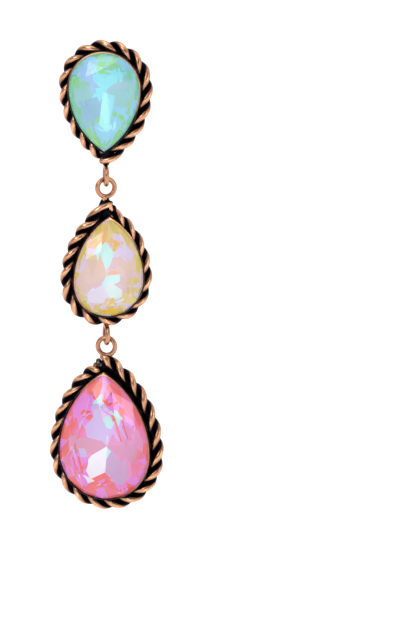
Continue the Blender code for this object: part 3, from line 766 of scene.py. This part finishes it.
def grind_crown(gem, tier):
    """The table, and the kites, stars and rim facets round it."""
    pear, width = tier.pear, tier.width
    half = pear.half
    tip = (np.array((0.0, pear.tip)), np.array((0.0, 1.0)))
    mains = mirrored([tip] + [pear.at(half * i / HALF_MAINS) for i in range(1, HALF_MAINS + 1)])
    right = [pear.at(half * (i + 0.5) / HALF_MAINS) for i in range(HALF_MAINS)]
    middles = [point for point, _ in right] + [point * (-1, 1) for point, _ in reversed(right)]
    insets = [TIP_INSET_SHARE * width] + [TABLE_INSET_SHARE * width] * (len(mains) - 1)
    table = tier.crown - TABLE_DROP
    gem.add(TABLE_LABEL, (0, 0, table), (1, 0, table), (0, 1, table))
    tops = [(*(p - inset * n), tier.crown) for (p, n), inset in zip(mains, insets)]
    for i, (p, n) in enumerate(mains):
        gem.add(KITE + i, (*p, 0), (p[0] - n[1] * width, p[1] + n[0] * width, 0), tops[i])
    share = KITE_RISE_SHARE
    for i, middle in enumerate(middles):
        j = (i + 1) % len(mains)
        crossing = line_crossing(mains[i], mains[j], share * insets[i], share * insets[j])
        joint = (*crossing, share * tier.crown)
        gem.add(STAR + i, tops[i], tops[j], joint)
        gem.add(RIM + 2 * i, (*mains[i][0], 0), (*middle, 0), joint)
        gem.add(RIM + 2 * i + 1, (*mains[j][0], 0), (*middle, 0), joint)


def grind_back(gem, tier, palette, edge, culet):
    """The star round the culet with its wedges, the rows of facets beyond them, and those at the girdle."""
    deep, edge = tier.pavilion, edge - culet

    def grind(label, gradient, level):
        """A facet that lies this deep below the culet's place and rises outwards with the gradient."""
        base = np.array((*culet, -GIRDLE - level))
        gem.add(label, base, base + (1, 0, gradient[0]), base + (0, 1, gradient[1]))

    def row(degrees, steep):
        """The rise over a millimetre of a facet in this direction. If steep is 1, it ends at the girdle."""
        angle = math.radians(degrees)
        outward = np.array((math.cos(angle), math.sin(angle)))
        return outward * (steep * deep / (edge @ outward).max())

    star = [row(direction, STAR_STEEP * strength) for direction, strength, *_ in palette.star]
    for i, (gradient, after) in enumerate(zip(star, star[1:] + star[:1])):
        direction, _, _, _, *steep = palette.star[i]
        half_angle, _, _, level = palette.wedges[i]
        turn = (palette.star[(i + 1) % len(star)][0] - direction) % 360
        apart = after - gradient
        ridge = np.array((-apart[1], apart[0])) / np.linalg.norm(apart)
        if ridge @ (gradient + after) < 0:
            ridge = -ridge
        rise = math.tan(math.radians(half_angle)) * np.linalg.norm(apart) / 2
        grind(MAIN + i, gradient, deep)
        grind(WEDGE + i, (gradient + after) / 2 + ridge * rise, deep)
        grind(BETWEEN + i, row(direction + turn / 2, BETWEEN_STEEP), level * deep)
        steep = steep[0] if steep else BEYOND_STEEP
        grind(BEYOND + i, row(direction, steep), (steep + BEYOND_DEEPER) * deep)
    steep, half = palette.lower_steep, tier.pear.half
    for i in range(4 * HALF_MAINS):
        _, normal = tier.pear.at(half * (i + 0.5) / (2 * HALF_MAINS))
        grind(LOWER + i, row(math.degrees(math.atan2(normal[1], normal[0])), steep), steep * deep)


def add_stone(tier, palette):
    """The faceted stone: a clear crown, and a back and girdle coated in the palette's colours."""
    gem = Gem()
    edge = tier.pear.outline(0.0, *EDGE_STEPS)
    for one, two in zip(edge, np.roll(edge, -1, 0)):
        gem.add(GIRDLE_LABEL, (*one, 0), (*two, 0), (*one, -1))
    culet = np.array((0.0, CULET_SHARE * tier.width))
    grind_crown(gem, tier)
    grind_back(gem, tier, palette, edge, culet)
    verts, faces, backed, colours = [], [], [], []
    for label, facet in gem.facets():
        parts = [(palette(label), facet)]
        for colour, *outline in palette.patches if label >= MAIN else ():
            outline = np.reshape(outline, (-1, 2)) * palette.facing + culet
            parts = recolour(parts, outline, palette.shades(colour))
        for shades, polygon in parts:
            faces.append(list(range(len(verts), len(verts) + len(polygon))))
            verts.extend(polygon.tolist())
            backed.append(label >= MAIN or label == GIRDLE_LABEL)
            colours += [shades] * len(polygon)
    mesh = bpy.data.meshes.new(tier.name + "_crystal")
    mesh.from_pydata(verts, [], faces)
    flat = np.zeros((len(verts), 3), np.float32)
    flat[:, :2] = (np.array(verts)[:, :2] - culet) * 2 / tier.width
    mesh.attributes.new("flat", "FLOAT_VECTOR", "POINT").data.foreach_set("vector", flat.ravel())
    for key, columns in zip(("facet", "sheen", "splinter"), np.split(np.array(colours), 3, 1)):
        layer = mesh.color_attributes.new(key, "FLOAT_COLOR", "CORNER")
        rgba = np.concatenate([columns, np.ones((len(columns), 1))], 1)
        layer.data.foreach_set("color", rgba.astype(np.float32).ravel())
    mesh.polygons.foreach_set("material_index", np.array(backed, np.int32))
    name, slot = tier.name + "_crystal", tier.crystal_slot
    stone = finish_piece(name, tier.body, slot, mesh, tier.place, [crystal, foil])
    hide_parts(tier.name + "_stone")


class Palette:
    """The colours of a stone's facets, and how its back is cut.

    Each facet of the star round the culet has a direction, a strength, a colour, and the colour of the facet
    beyond it, which may have its own steepness. The wedge that follows has a half angle and a colour, then
    the colour and level of the facet beyond it. The lowers lie round the girdle. A patch gives its colour to
    what it covers on the back: it has x and y of each corner of a convex outline, in millimetres from the
    culet, as seen from the front. The colours are the coating's own together with painted reflections: the
    patches and the white, ice and cyan facets paint in the reflections that the stone shows from the front.
    All facets drift to the blush. A broken one has splinters of the colour that is least like its own, which
    are painted reflections from inside the stone.
    """

    def __init__(self, clear, turn, lower_steep, star, wedges, lowers, blush, splinters, patches):
        self.clear, self.lower_steep, self.wedges = clear, lower_steep, wedges
        self.blush, self.splinters, self.patches = blush, splinters, patches
        self.facing = math.cos(math.radians(turn))
        self.star = [(direction + turn, *rest) for direction, *rest in star]
        columns = ((MAIN, star, 2), (WEDGE, wedges, 1), (BETWEEN, wedges, 2), (BEYOND, star, 3))
        self.colours = {first + i: row[k] for first, rows, k in columns for i, row in enumerate(rows)}
        self.colours.update((LOWER + i, colour) for i, colour in enumerate(lowers))

    def __call__(self, label):
        """A facet's colour, the one it drifts to, and that of the splinters of painted reflection in it."""
        colour = self.colours.get(label, self.clear)
        return self.shades(colour, not MAIN <= label < BETWEEN or sum(colour) <= BRIGHT)

    def shades(self, colour, splintered=False):
        share = BROKEN_BLUSH if splintered else WHOLE_BLUSH
        other = tuple((1 - share) * c + share * b for c, b in zip(colour, self.blush))
        apart = [sum((c - b) ** 2 for c, b in zip(colour, splinter)) for splinter in self.splinters]
        splinter = self.splinters[int(np.argmax(apart))] if splintered else colour
        return (*colour, *other, *splinter)


GREEN, LEAF, MINT = (0.28, 0.64, 0.37), (0.37, 0.7, 0.28), (0.36, 0.78, 0.58)
SKY, PERIWINKLE, AQUA = (0.4, 0.68, 0.98), (0.46, 0.6, 1), (0.36, 0.8, 0.95)
FOG, SLATE, SEA = (0.46, 0.58, 0.68), (0.36, 0.54, 0.74), (0.4, 0.64, 0.68)
# ICE is in part a painted reflection.
ICE, PALE_SKY = (0.54, 0.96, 0.97), (0.42, 0.8, 0.98)
top_palette = Palette(
    clear=(0.86, 1, 0.95),
    turn=180,
    lower_steep=1.5,
    star=(
        (270, 1.04, ICE, SKY, 1.22), (300, 0.94, PALE_SKY, SKY), (346, 1, SEA, SEA), (18, 1, FOG, SEA),
        (62, 1, AQUA, SKY), (117, 1, AQUA, SKY), (160, 1, FOG, SEA), (204, 0.9, AQUA, SEA),
        (243, 1, SLATE, PERIWINKLE),
    ),
    wedges=(
        (0.3, SKY, SKY, 1.22), (0.8, LEAF, SKY, 1.15), (0.3, SEA, SEA, 1.16), (0.6, SEA, GREEN, 1.14),
        (0.5, SKY, LEAF, 1.12), (1, PERIWINKLE, PERIWINKLE, 1.13), (0.8, SLATE, SEA, 1.13),
        (0.8, PERIWINKLE, SLATE, 1.13), (0.4, SKY, PERIWINKLE, 1.15),
    ),
    lowers=(
        LEAF, GREEN, GREEN, GREEN, MINT, GREEN, LEAF, GREEN, LEAF, GREEN, MINT, GREEN, GREEN, GREEN,
        GREEN, LEAF,
    ),
    blush=(0.44, 0.68, 1),
    splinters=(LEAF, SKY),
    patches=(
        (GREEN, -2.2, 4.6, 2.2, 4.6, 1.6, 5.6, -1.6, 5.6), (GREEN, -4.6, 2, -3.9, 2, -3.7, -1, -4.3, -1.2),
        (GREEN, 4.6, 2, 3.9, 2, 3.7, -1, 4.3, -1.2), (MINT, -1.1, 4.2, 1.1, 4.2, 0.9, 3.5, -0.9, 3.5),
        (SKY, -2.6, 4.3, -1.3, 4.3, -1.2, 3, -2.3, 2.8), (SKY, 1.3, 4.2, 2.6, 4.3, 2.6, 2.8, 1.8, 2.6),
        (SKY, -1.4, -4.4, 1.4, -4.4, 0.45, -7, -0.45, -7),
        (LEAF, -1.5, -4.7, -0.5, -7, -1.4, -6.6, -2.3, -5.2),
        (LEAF, 1.5, -4.7, 0.5, -7, 1.4, -6.6, 2.3, -5.2), (LEAF, 0, -5.9, 0.14, -7.4, -0.14, -7.4),
        (PERIWINKLE, -2.2, 1.3, -1.5, 1.2, -1.6, -0.5, -2, 0.1),
        (SLATE, -2.9, -1.3, -1.16, -0.8, -0.5, -2.4, -0.8, -3.85, -1.6, -3.85, -2.76, -2.4),
        (AQUA, -1.7, 2.4, 0.1, 2.5, 0.1, 0.2, -0.8, 0.54, -1.65, 1.43),
        (AQUA, 0.1, 2.5, 1.96, 2.3, 1.87, 1.43, 0.1, 0.2),
        (AQUA, -1.42, 0.45, -0.27, 0.45, -0.15, -0.27, -1.16, -0.72),
        (PALE_SKY, 0.25, -0.4, 1.42, -0.6, 1.2, -2.2, 0.75, -4.2),
        (ICE, -0.36, -0.18, 0.27, -0.36, 0.8, -4.75, 0, -5.3, -0.8, -4.75),
    ),
)
OLIVE, STRAW, ORANGE = (0.71, 0.6, 0.08), (0.78, 0.66, 0.28), (0.86, 0.54, 0.2)
PEACH, ROSE, LILAC = (0.77, 0.58, 0.48), (0.76, 0.56, 0.64), (0.74, 0.64, 0.98)
FROST, PALE = (0.6, 0.88, 1), (0.78, 0.76, 1)
mid_palette = Palette(
    clear=(1, 0.99, 0.93),
    turn=0,
    lower_steep=1.38,
    star=(
        (88, 1.18, (0.8, 0.64, 0.76), (0.8, 0.64, 0.76), 1.2), (120, 1, PEACH, STRAW),
        (152, 1, PEACH, LILAC), (185, 1, PEACH, ROSE), (216, 1, ROSE, LILAC), (250, 1, PALE, LILAC),
        (280, 0.95, PALE, ORANGE), (310, 1, ROSE, LILAC), (345, 1, ROSE, ROSE),
        (12, 1, (0.8, 0.6, 0.58), ROSE), (34, 1, ROSE, LILAC), (60, 1, LILAC, ORANGE),
    ),
    wedges=(
        (0.6, LILAC, ORANGE, 1.095), (0.8, ORANGE, STRAW, 1.12), (0.6, PEACH, PEACH, 1.14),
        (0.5, ROSE, PEACH, 1.14), (0.6, LILAC, ROSE, 1.14), (0.3, LILAC, LILAC, 1.18),
        (0.3, FROST, LILAC, 1.2), (0.6, FROST, ROSE, 1.18), (0.8, ROSE, ROSE, 1.15),
        (0.9, PEACH, PEACH, 1.13), (0.8, ORANGE, LILAC, 1.13), (0.8, LILAC, STRAW, 1.095),
    ),
    lowers=(
        OLIVE, OLIVE, STRAW, OLIVE, ROSE, OLIVE, STRAW, OLIVE, OLIVE, LILAC, OLIVE, ROSE, OLIVE, OLIVE,
        STRAW, OLIVE,
    ),
    blush=(0.8, 0.68, 0.96),
    splinters=(OLIVE, LILAC),
    patches=(
        (OLIVE, -4, 0.3, -3.2, 0.3, -3.1, 3, -2.2, 5.6, -2.8, 6, -3.9, 3),
        (OLIVE, 3.3, 2.8, 4.1, 2.2, 4.2, 0.2, 3.4, 0.2),
        ((0.9, 0.64, 0.07), -1.2, -4, 1.7, -3.7, 1.2, -5, -0.6, -5.1),
        (ORANGE, -2.5, 4.9, -1.1, 5.3, -0.6, 4.2, -1.2, 3.6, -2.6, 4),
        (ORANGE, 0.2, 5.2, 1.6, 4.4, 1.2, 3.8, 0.4, 4.4), (LILAC, -2.9, 3.6, -1.3, 3.8, -1.2, 2.9, -2.2, 2.9),
        (LILAC, 1.6, 3.7, 3.1, 3.2, 3.1, 2, 2.4, 2, 1.7, 2.9),
        (PALE, -0.75, -1, 0.1, -2.9, -0.6, -3.3, -2.3, -3.2, -2.5, -1.9, -1.5, -1.5),
        ((0.74, 0.92, 1), 0.1, -0.6, 2.05, -2, 2, -2.95, 1.2, -3.25, 0.1, -2.9, -0.3, -1.8),
        (FROST, 0.02, -0.1, 0.1, -0.6, -0.3, -1.8, -0.75, -1),
        ((0.62, 0.96, 0.98), 0.02, -0.05, 1.83, 0.2, 1.83, -0.8, 0.9, -1.2, 0.1, -0.6),
        ((0.88, 0.5, 0.4), 0.3, 0.1, 1.9, 0.3, 1.2, 0.75, 0.35, 0.6),
        ((0.58, 0.92, 0.98), -0.18, 4.57, 0.97, 3.4, 0.46, 1.6, -0.09, 0.98, -0.73, 2.33, -1.06, 3.31),
        ((0.92, 0.6, 0.14), -0.37, -3.1, 0.75, -3.45, 0.2, -3.6),
    ),
)
CORAL, ORCHID, HOT = (0.86, 0.17, 0.125), (0.8, 0.29, 0.8), (0.86, 0.25, 0.42)
DUSTY, LAVENDER, MAUVE = (0.68, 0.35, 0.5), (0.6, 0.54, 0.84), (0.58, 0.43, 0.66)
# WHITE and CYAN are in part painted reflections.
WHITE, CYAN, SHELL = (0.86, 1, 1), (0.46, 0.92, 0.95), (0.76, 0.35, 0.55)
drop_palette = Palette(
    clear=(1, 0.965, 0.985),
    turn=0,
    lower_steep=1.48,
    star=(
        (78, 1.1, (0.52, 0.92, 0.86), ORCHID, 1.15),
        (99, 0.93, (0.64, 0.52, 0.88), (0.76, 0.44, 0.84), 1.15), (125, 1.1, LAVENDER, ORCHID, 1.36),
        (172, 1, DUSTY, ORCHID), (243, 1, WHITE, CORAL), (277, 0.92, CYAN, ORCHID),
        (308, 1, (0.76, 0.34, 0.62), ORCHID), (350, 1, DUSTY, HOT), (22, 1, SHELL, HOT),
        (52, 1, (0.68, 0.48, 0.88), CORAL),
    ),
    wedges=(
        (0.6, ORCHID, CORAL, 1.125), (0.8, ORCHID, CORAL, 1.12), (0.9, CORAL, ORCHID, 1.13),
        (0.6, LAVENDER, ORCHID, 1.17), (0.3, CYAN, CORAL, 1.18), (0.3, CYAN, HOT, 1.2),
        (0.8, ORCHID, HOT, 1.18), (0.6, HOT, SHELL, 1.16), (0.8, CORAL, HOT, 1.14), (0.9, CORAL, CORAL, 1.1),
    ),
    lowers=(
        CORAL, HOT, CORAL, HOT, CORAL, HOT, ORCHID, CORAL, CORAL, ORCHID, HOT, CORAL, ORCHID, CORAL, HOT,
        CORAL,
    ),
    blush=(0.8, 0.4, 0.9),
    splinters=(CORAL, ORCHID),
    patches=(
        (ORCHID, -4.4, 5.6, -2.7, 7.4, -1.4, 7.1, -1.6, 5.4, -3.9, 3.2),
        (CORAL, -1.5, 8.4, -0.3, 9.4, -0.4, 7.6, -1.5, 6.6), (CORAL, 1.2, 5.6, 2, 5, 1.7, 3.4, 0.9, 4.6),
        (LAVENDER, -3, 2.9, -1.7, 4.4, -0.7, 4.7, 0.63, 2.6, 0.6, 2, -0.1, 1.3, -1, 0.8, -2.7, 1.35),
        ((0.72, 0.6, 0.88), -0.65, 5.5, 0.85, 4.4, 0.3, 3.7, -0.5, 4.1),
        ((0.48, 0.92, 0.82), -0.4, 4.1, 0.6, 4.75, 1.2, 3.5, 0.75, 2.6, 0.1, 2.75),
        ((0.78, 0.4, 0.86), 1.75, 4.3, 3.3, 3.6, 3.2, 2.5, 1.8, 2.9),
        ((0.7, 0.5, 0.9), 1, 3.1, 2.1, 0.9, 1.6, 0.95, 0.8, 2.2),
        (CORAL, 1.35, 3.6, 1.5, 3.6, 2.4, 0.9, 2.15, 0.9),
        (LAVENDER, -4, -0.2, -3, -0.3, -2.7, -1.5, -3.6, -1.6),
        (CORAL, -4.1, -1.3, -3.75, -1.5, -3.1, -4, -3.45, -3.7), (CYAN, -0.35, 7.7, -1.5, 5.8, -0.5, 5.6),
        ((0.74, 0.46, 0.86), -0.3, 8.6, -0.75, 7.2, -0.38, 7.1), (ORCHID, 0.05, 8.5, 1.2, 6.3, 0.1, 5.9),
        (MAUVE, 0.02, -1, 0.65, -0.65, 2.3, -2.05, 1.95, -4.9, -0.08, -3.6),
        (CORAL, -1.9, -4.7, -0.1, -3.65, 0.4, -4.2, -1.2, -4.95),
        (WHITE, -2.55, -1.8, 0.05, -0.3, -0.1, -3.6, -2.2, -4.65, -2.45, -4),
        (CYAN, 0.05, -0.25, 0.65, -0.65, 0, -1.8),
    ),
)

for tier, palette in ((top, top_palette), (mid, mid_palette), (drop, drop_palette)):
    add_cup(tier)
    add_stone(tier, palette)
    add_web(tier)
add_rope(top, 0.5, 0.25, end_pull=(0.5, 1.0, 3.4), cut=((0, 0), (0, 1.1)))
add_rope(mid, 0.55, -0.05, end_pull=(0.65, 1.5, 3.2))
add_rope(drop, -0.7, -1.2, start_pull=(0.0, 0.35, 1.8), end_pull=(0.25, -0.8, 2.6))

mid_foot = -mid.rope.radius
add_eye(top, "top_eye", top.rope.tip + TOP_EYE_REACH, 90 - TOP_EYE_TURN)
add_eye(mid, "mid_upper_eye", mid.rope.tip + MID_UPPER_REACH, 0)
add_eye(mid, "mid_lower_eye", mid_foot - MID_LOWER_REACH, 90 + MID_EYE_TURN)
add_eye(drop, "drop_eye", drop.rope.tip + DROP_EYE_REACH, 0)

for tier, reach, seed in ((top, TOP_EYE_REACH, 3), (mid, MID_UPPER_REACH, 5), (drop, DROP_EYE_REACH, 9)):
    apex = tier.rope.tip
    eye_foot = apex + reach - EYE_OUTER
    add_blob(tier, tier.name + "_tip_fill", apex - 1.5, apex + 0.35, 0.78, 0.82, seed, 0.12)
    add_blob(tier, tier.name + "_neck", apex - 0.2, eye_foot + 0.25, 0.52, 0.5, seed + 1, 0.28)
low = mid_foot - MID_LOWER_REACH + EYE_OUTER - 0.3
add_blob(mid, "mid_foot_neck", low, mid_foot + 0.1, 0.5, 0.5, 12, 0.3)
add_stub(mid, "mid_strand_end", (0.25, 10.75, -1.3), (0.55, 10.4, -1.00), (0.7, 9.75, -1.25), 0.32)
add_blob(mid, "mid_neck_bead", 11.25, 12.15, 0.34, 0.62, 31, 0.8, across=-0.22, material=antique)
add_blob(mid, "mid_tip_bead", 9.2, 10.7, 0.5, 0.55, 21, 0.15, across=1.0)
add_blob(drop, "drop_tip_bead", 12.5, 13.4, 0.42, 0.5, 24, 0.74, across=-1.15)
add_blob(drop, "drop_tip_bead_low", 12.0, 13.0, 0.46, 0.5, 25, 0.7, across=-0.8)
add_blob(drop, "drop_tip_bead_side", 12.0, 12.8, 0.42, 0.45, 26, 0.78, across=-1.55)


# Post and clutch, in millimetres of the shared frame

POST_RADIUS, POST_END, POST_GAP = 0.38, 13.0, 0.1
NOTCH_BACK, NOTCH_LENGTH, NOTCH_DEPTH, NOTCH_LIP = 1.9, 0.4, 0.1, 0.012
POST_ROUNDING, POST_STEP, POST_FLAW = 0.15, 0.22, 0.006
BORE, PLATE_FROM, PLATE_RADIUS, PETAL_DEPTH, PETALS = 0.48, 2.1, 3.5, 0.5, 8
PLATE, STRIP, STRIP_WIDTH, SCROLL_WIDTH, SCROLL_DEPTH = 0.3, 0.25, 1.9, 2.5, 3.0
SCROLL_FROM, SCROLL_TO, STRIP_CORNER = -110.0, 175.0, 0.075
COLLAR, GROOVE, DISH = 0.05, 0.045, 0.05  # relief on the plate: round its hole, between petals, inside them
CLUTCH_TURN = 8
CLUTCH_PLACE = Matrix.Translation((0, PLATE_FROM + PLATE / 2, 0)) @ rotation(CLUTCH_TURN, "Y")


def turned(name, slot, material, profile, sides, worn=None):
    """A solid turned about the post's axis from radii and places along it."""
    u, profile = circle(sides), np.array(profile)
    radius = profile[:, :1]
    along = profile[:, 1:] * np.ones((1, sides))
    points = np.stack([radius * np.cos(u), along, radius * np.sin(u)], -1).reshape(-1, 3)
    worn = np.repeat(np.full(len(profile), 0.5) if worn is None else worn, sides)
    faces = capped(len(profile), sides)
    return make(name, "top", slot, points, faces, Matrix.Identity(4), material, worn, points * 0.5)


def add_post():
    """The pin with its notch and rounded end, and the solder at its foot."""
    rng = np.random.default_rng(5)
    notch_end = POST_END - NOTCH_BACK
    notch_start = notch_end - NOTCH_LENGTH
    profile = [(POST_RADIUS - 0.02, POST_GAP), (POST_RADIUS, POST_GAP + 0.02)]
    for y in np.arange(0.3, notch_start - 0.1, POST_STEP):
        profile.append((POST_RADIUS - rng.uniform(0, POST_FLAW), y))
    profile += [(POST_RADIUS, notch_start - 0.04), (POST_RADIUS - NOTCH_LIP, notch_start - 0.01)]
    for t in np.linspace(0, 1, 9):
        depth = math.sin(math.pi * t) ** 0.7 if 0 < t < 1 else 0.0
        radius = POST_RADIUS - NOTCH_LIP - (NOTCH_DEPTH - NOTCH_LIP) * depth
        profile.append((radius, notch_start + (notch_end - notch_start) * t))
    profile += [(POST_RADIUS, notch_end + 0.04)]
    for y in np.arange(notch_end + 0.25, POST_END - 0.2, POST_STEP):
        profile.append((POST_RADIUS - rng.uniform(0, POST_FLAW), y))
    middle_radius, middle = POST_RADIUS - POST_ROUNDING, POST_END - POST_ROUNDING
    for turn in np.linspace(0, 1, 10) * math.pi / 2:
        x, y = POST_ROUNDING * math.cos(turn), POST_ROUNDING * math.sin(turn)
        profile.append((middle_radius + x, middle + y))
    profile.append((0.08, POST_END))
    pin = turned("post_pin", "post_steel", steel, profile, 32)
    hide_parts("ear_post")
    foot = [(0.36, -0.05), (0.8, -0.05), (0.78, 0.005)]
    foot += [(POST_RADIUS + 0.38 * (1 - t) ** 2.4, 0.01 + 0.32 * t) for t in np.linspace(0, 1, 12)]
    foot.append((0.36, 0.335))
    turned("post_solder", "antique_copper", solder, foot, 40, np.linspace(0.15, 0.75, len(foot)))


def add_clutch_plate():
    """The petalled plate, with shallow grooves between its petals and a raised rim round its hole."""
    u = circle(PETALS * 30)
    between = 1 - np.abs(np.sin(PETALS * u / 2))
    reach = PLATE_RADIUS - PETAL_DEPTH * between
    inside = [(share, 0.0) for share in (0.02, 0.1, 0.17, 0.24, 0.36, 0.5, 0.64, 0.76, 0.86, 0.93)]
    face = [(0.0, 0.02), *inside, (0.965, 0.008), (0.985, 0.03), (0.996, 0.065)]
    rows, worn = [], []
    for side in (-1, 1):
        front = side < 0
        for share, sunk in face[::side]:
            radius = BORE + (reach - BORE) * share
            collar = COLLAR * (1 - step(radius, 0.62, 0.95)) * front
            groove = np.exp(-(((between - 1) / 0.3) ** 2)) * step(radius, 1.3, 2.3)
            groove *= 1 - 0.4 * step(radius, 2.8, 3.0)
            dish = DISH * step(radius, 0.8, 2.2) * (1 - step(radius, 2.3, 3.4)) * front
            depth = side * (PLATE / 2 - sunk - GROOVE * groove - dish) - collar
            depth = np.clip(depth, -PLATE / 2, PLATE / 2)
            rows.append(np.stack([radius * np.cos(u), depth, radius * np.sin(u)], -1))
            worn.append(0.42 + 0.4 * step(share, 0.9, 0.98) - 0.3 * groove)
    points = np.concatenate(rows)
    faces = ring_faces(len(rows), len(u), closed=True)
    wire = np.stack([points[:, 0] * 0.5, points[:, 2] * 1.5, points[:, 1]], -1)
    look = (brushed, np.concatenate(worn), wire)
    plate = make("clutch_plate", "clutch", "brushed_copper", points, faces, CLUTCH_PLACE, *look)
    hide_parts("ear_clutch")


def add_clutch_scroll(name, side):
    """One scroll: a strip with rounded edges that leaves the plate, curls out and ends by the post."""
    inner = POST_RADIUS + 0.1 + STRIP / 2
    across, deep = SCROLL_WIDTH / 2, (SCROLL_DEPTH - PLATE / 2) / 2
    turn = np.radians(np.linspace(SCROLL_FROM, SCROLL_TO, 88))
    centre = np.stack([inner + across + across * np.cos(turn), PLATE / 2 + deep + deep * np.sin(turn)], -1)
    tangent = unit(np.gradient(centre, axis=0))
    out = np.stack([tangent[:, 1], -tangent[:, 0]], -1)
    run = np.concatenate([[0], np.cumsum(np.linalg.norm(np.diff(centre, axis=0), axis=1))])
    wide, thick, section = STRIP_WIDTH / 2 - STRIP_CORNER, STRIP / 2 - STRIP_CORNER, []
    for on_z, on_n, first in ((1, 1, 0), (-1, 1, 90), (-1, -1, 180), (1, -1, 270)):
        for k in range(5):
            a = math.radians(first + 90 * k / 4)
            corner = (STRIP_CORNER * math.cos(a), STRIP_CORNER * math.sin(a))
            section.append((on_z * wide + corner[0], on_n * thick + corner[1]))
    section = np.array(section)
    to_end = run[-1] - run
    narrow = 1 - 0.1 * (1 - step(to_end, 0.0, 0.7))
    along_n = section[None, :, 1] * rounded(to_end / 0.22, 0.05)[:, None]
    z = section[None, :, 0] * narrow[:, None]
    x = side * (centre[:, :1] + out[:, :1] * along_n)
    points = np.stack([x, centre[:, 1:] + out[:, 1:] * along_n, z], -1).reshape(-1, 3)
    count = len(section)
    outer = np.tile(step(section[:, 1], -0.02, 0.06), len(run))
    edge = np.tile(step(np.abs(section[:, 0]), STRIP_WIDTH / 2 - 0.09, STRIP_WIDTH / 2 - 0.01), len(run))
    worn = 0.12 + 0.56 * outer + 0.25 * edge
    wire = np.stack([points[:, 2] * 0.5, np.repeat(run * 1.6, count), np.full(len(points), float(side))], -1)
    faces = capped(len(run), count)
    make(name, "clutch", "brushed_copper", points, faces, CLUTCH_PLACE, brushed, worn, wire)


add_post()
add_clutch_plate()
add_clutch_scroll("clutch_left_scroll", -1)
add_clutch_scroll("clutch_right_scroll", 1)


# Stage, light and camera

PIXELS_PER_MM, PICTURE = 7.1, (416, 624)
ORIGIN_PIXEL = 108.4, 84.3  # where the shared frame's origin lies in the picture
AZIMUTH, ELEVATION = math.radians(8.2), math.radians(10.5)
LENS, SENSOR = 400.0, 36.0


def add_floor():
    """A white floor far below, which the metal reflects."""
    reach, height = 8.0, -0.16
    corners = [(x * reach, y * reach, height) for x, y in ((-1, -1), (1, -1), (1, 1), (-1, 1))]
    mesh = bpy.data.meshes.new("floor")
    mesh.from_pydata(corners, [], [(0, 1, 2, 3)])
    material, tree, shader = new_material("floor_white")
    tone = ramp(tree, noise(tree, coordinates(tree), 3.0), ((0.3, (0.96,) * 3), (0.7, (0.98,) * 3)))
    feed(tree, shader, Base_Color=tone, Emission_Color=(1, 1, 1, 1), Emission_Strength=0.22)
    feed(tree, shader, Roughness=0.9, Specular_IOR_Level=0.0)
    mesh.materials.append(material)
    obj = add_object("floor", mesh)
    obj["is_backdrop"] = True


def add_softbox(name, place, width, height, radiance):
    """A rectangular lamp aimed at the middle of the earring."""
    light = bpy.data.lights.new(name, "AREA")
    light.shape = "RECTANGLE"
    light.size, light.size_y = width, height
    light.energy = radiance * math.pi * width * height
    obj = add_object(name, light)
    obj.location = place
    aim = Vector((0, 0, -0.03)) - Vector(place)
    obj.rotation_mode = "QUATERNION"
    obj.rotation_quaternion = aim.to_track_quat("-Z", "Y")


def add_world():
    """A bright room with a darker band in front above the horizon."""
    world = bpy.data.worlds.new("studio")
    bpy.context.scene.world = world
    world.use_nodes = True
    tree = world.node_tree
    parts = split(tree, coordinates(tree, "Generated"))
    rise = parts["Z"]
    above = maths(tree, "MULTIPLY", smooth(tree, rise, 0.03, 0.2), smooth(tree, rise, 0.85, 0.45))
    front = smooth(tree, parts["Y"], 0.15, -0.35)
    level = maths(tree, "SUBTRACT", 1.0, maths(tree, "MULTIPLY", above, front))
    tone = ramp(tree, level, ((0.0, (0.2, 0.19, 0.21)), (1.0, (1.08, 1.08, 1.1))))
    feed(tree, tree.nodes["Background"], Color=tone)


def add_camera():
    """Above and to the right of the earring, which is left of the picture's middle as in the photograph."""
    distance = PICTURE[1] / PIXELS_PER_MM * MM / SENSOR * LENS
    right = Vector((math.cos(AZIMUTH), math.sin(AZIMUTH), 0))
    level = Vector((-math.sin(AZIMUTH), math.cos(AZIMUTH), 0))
    up = level * math.sin(ELEVATION) + Vector((0, 0, math.cos(ELEVATION)))
    back = right.cross(up)
    shift = [(size / 2 - pixel) / PIXELS_PER_MM * MM for size, pixel in zip(PICTURE, ORIGIN_PIXEL)]
    middle = right * shift[0] - up * shift[1]
    data = bpy.data.cameras.new("camera")
    data.lens, data.sensor_width = LENS, SENSOR
    data.clip_start, data.clip_end = 0.01, 50
    obj = add_object("camera", data)
    turn = Matrix((right, up, back)).transposed().to_4x4()
    obj.matrix_world = Matrix.Translation(middle + back * distance) @ turn
    bpy.context.scene.camera = obj


add_floor()
add_world()
add_softbox("key", (-0.26, -0.52, 0.34), 0.28, 0.3, 4.6)
add_softbox("fill", (0.5, -0.32, 0.1), 0.12, 0.36, 4.0)
add_softbox("top", (0.02, -0.06, 0.55), 0.4, 0.3, 1.8)
add_camera()
bpy.context.scene.view_settings.view_transform = "Standard"

low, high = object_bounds()
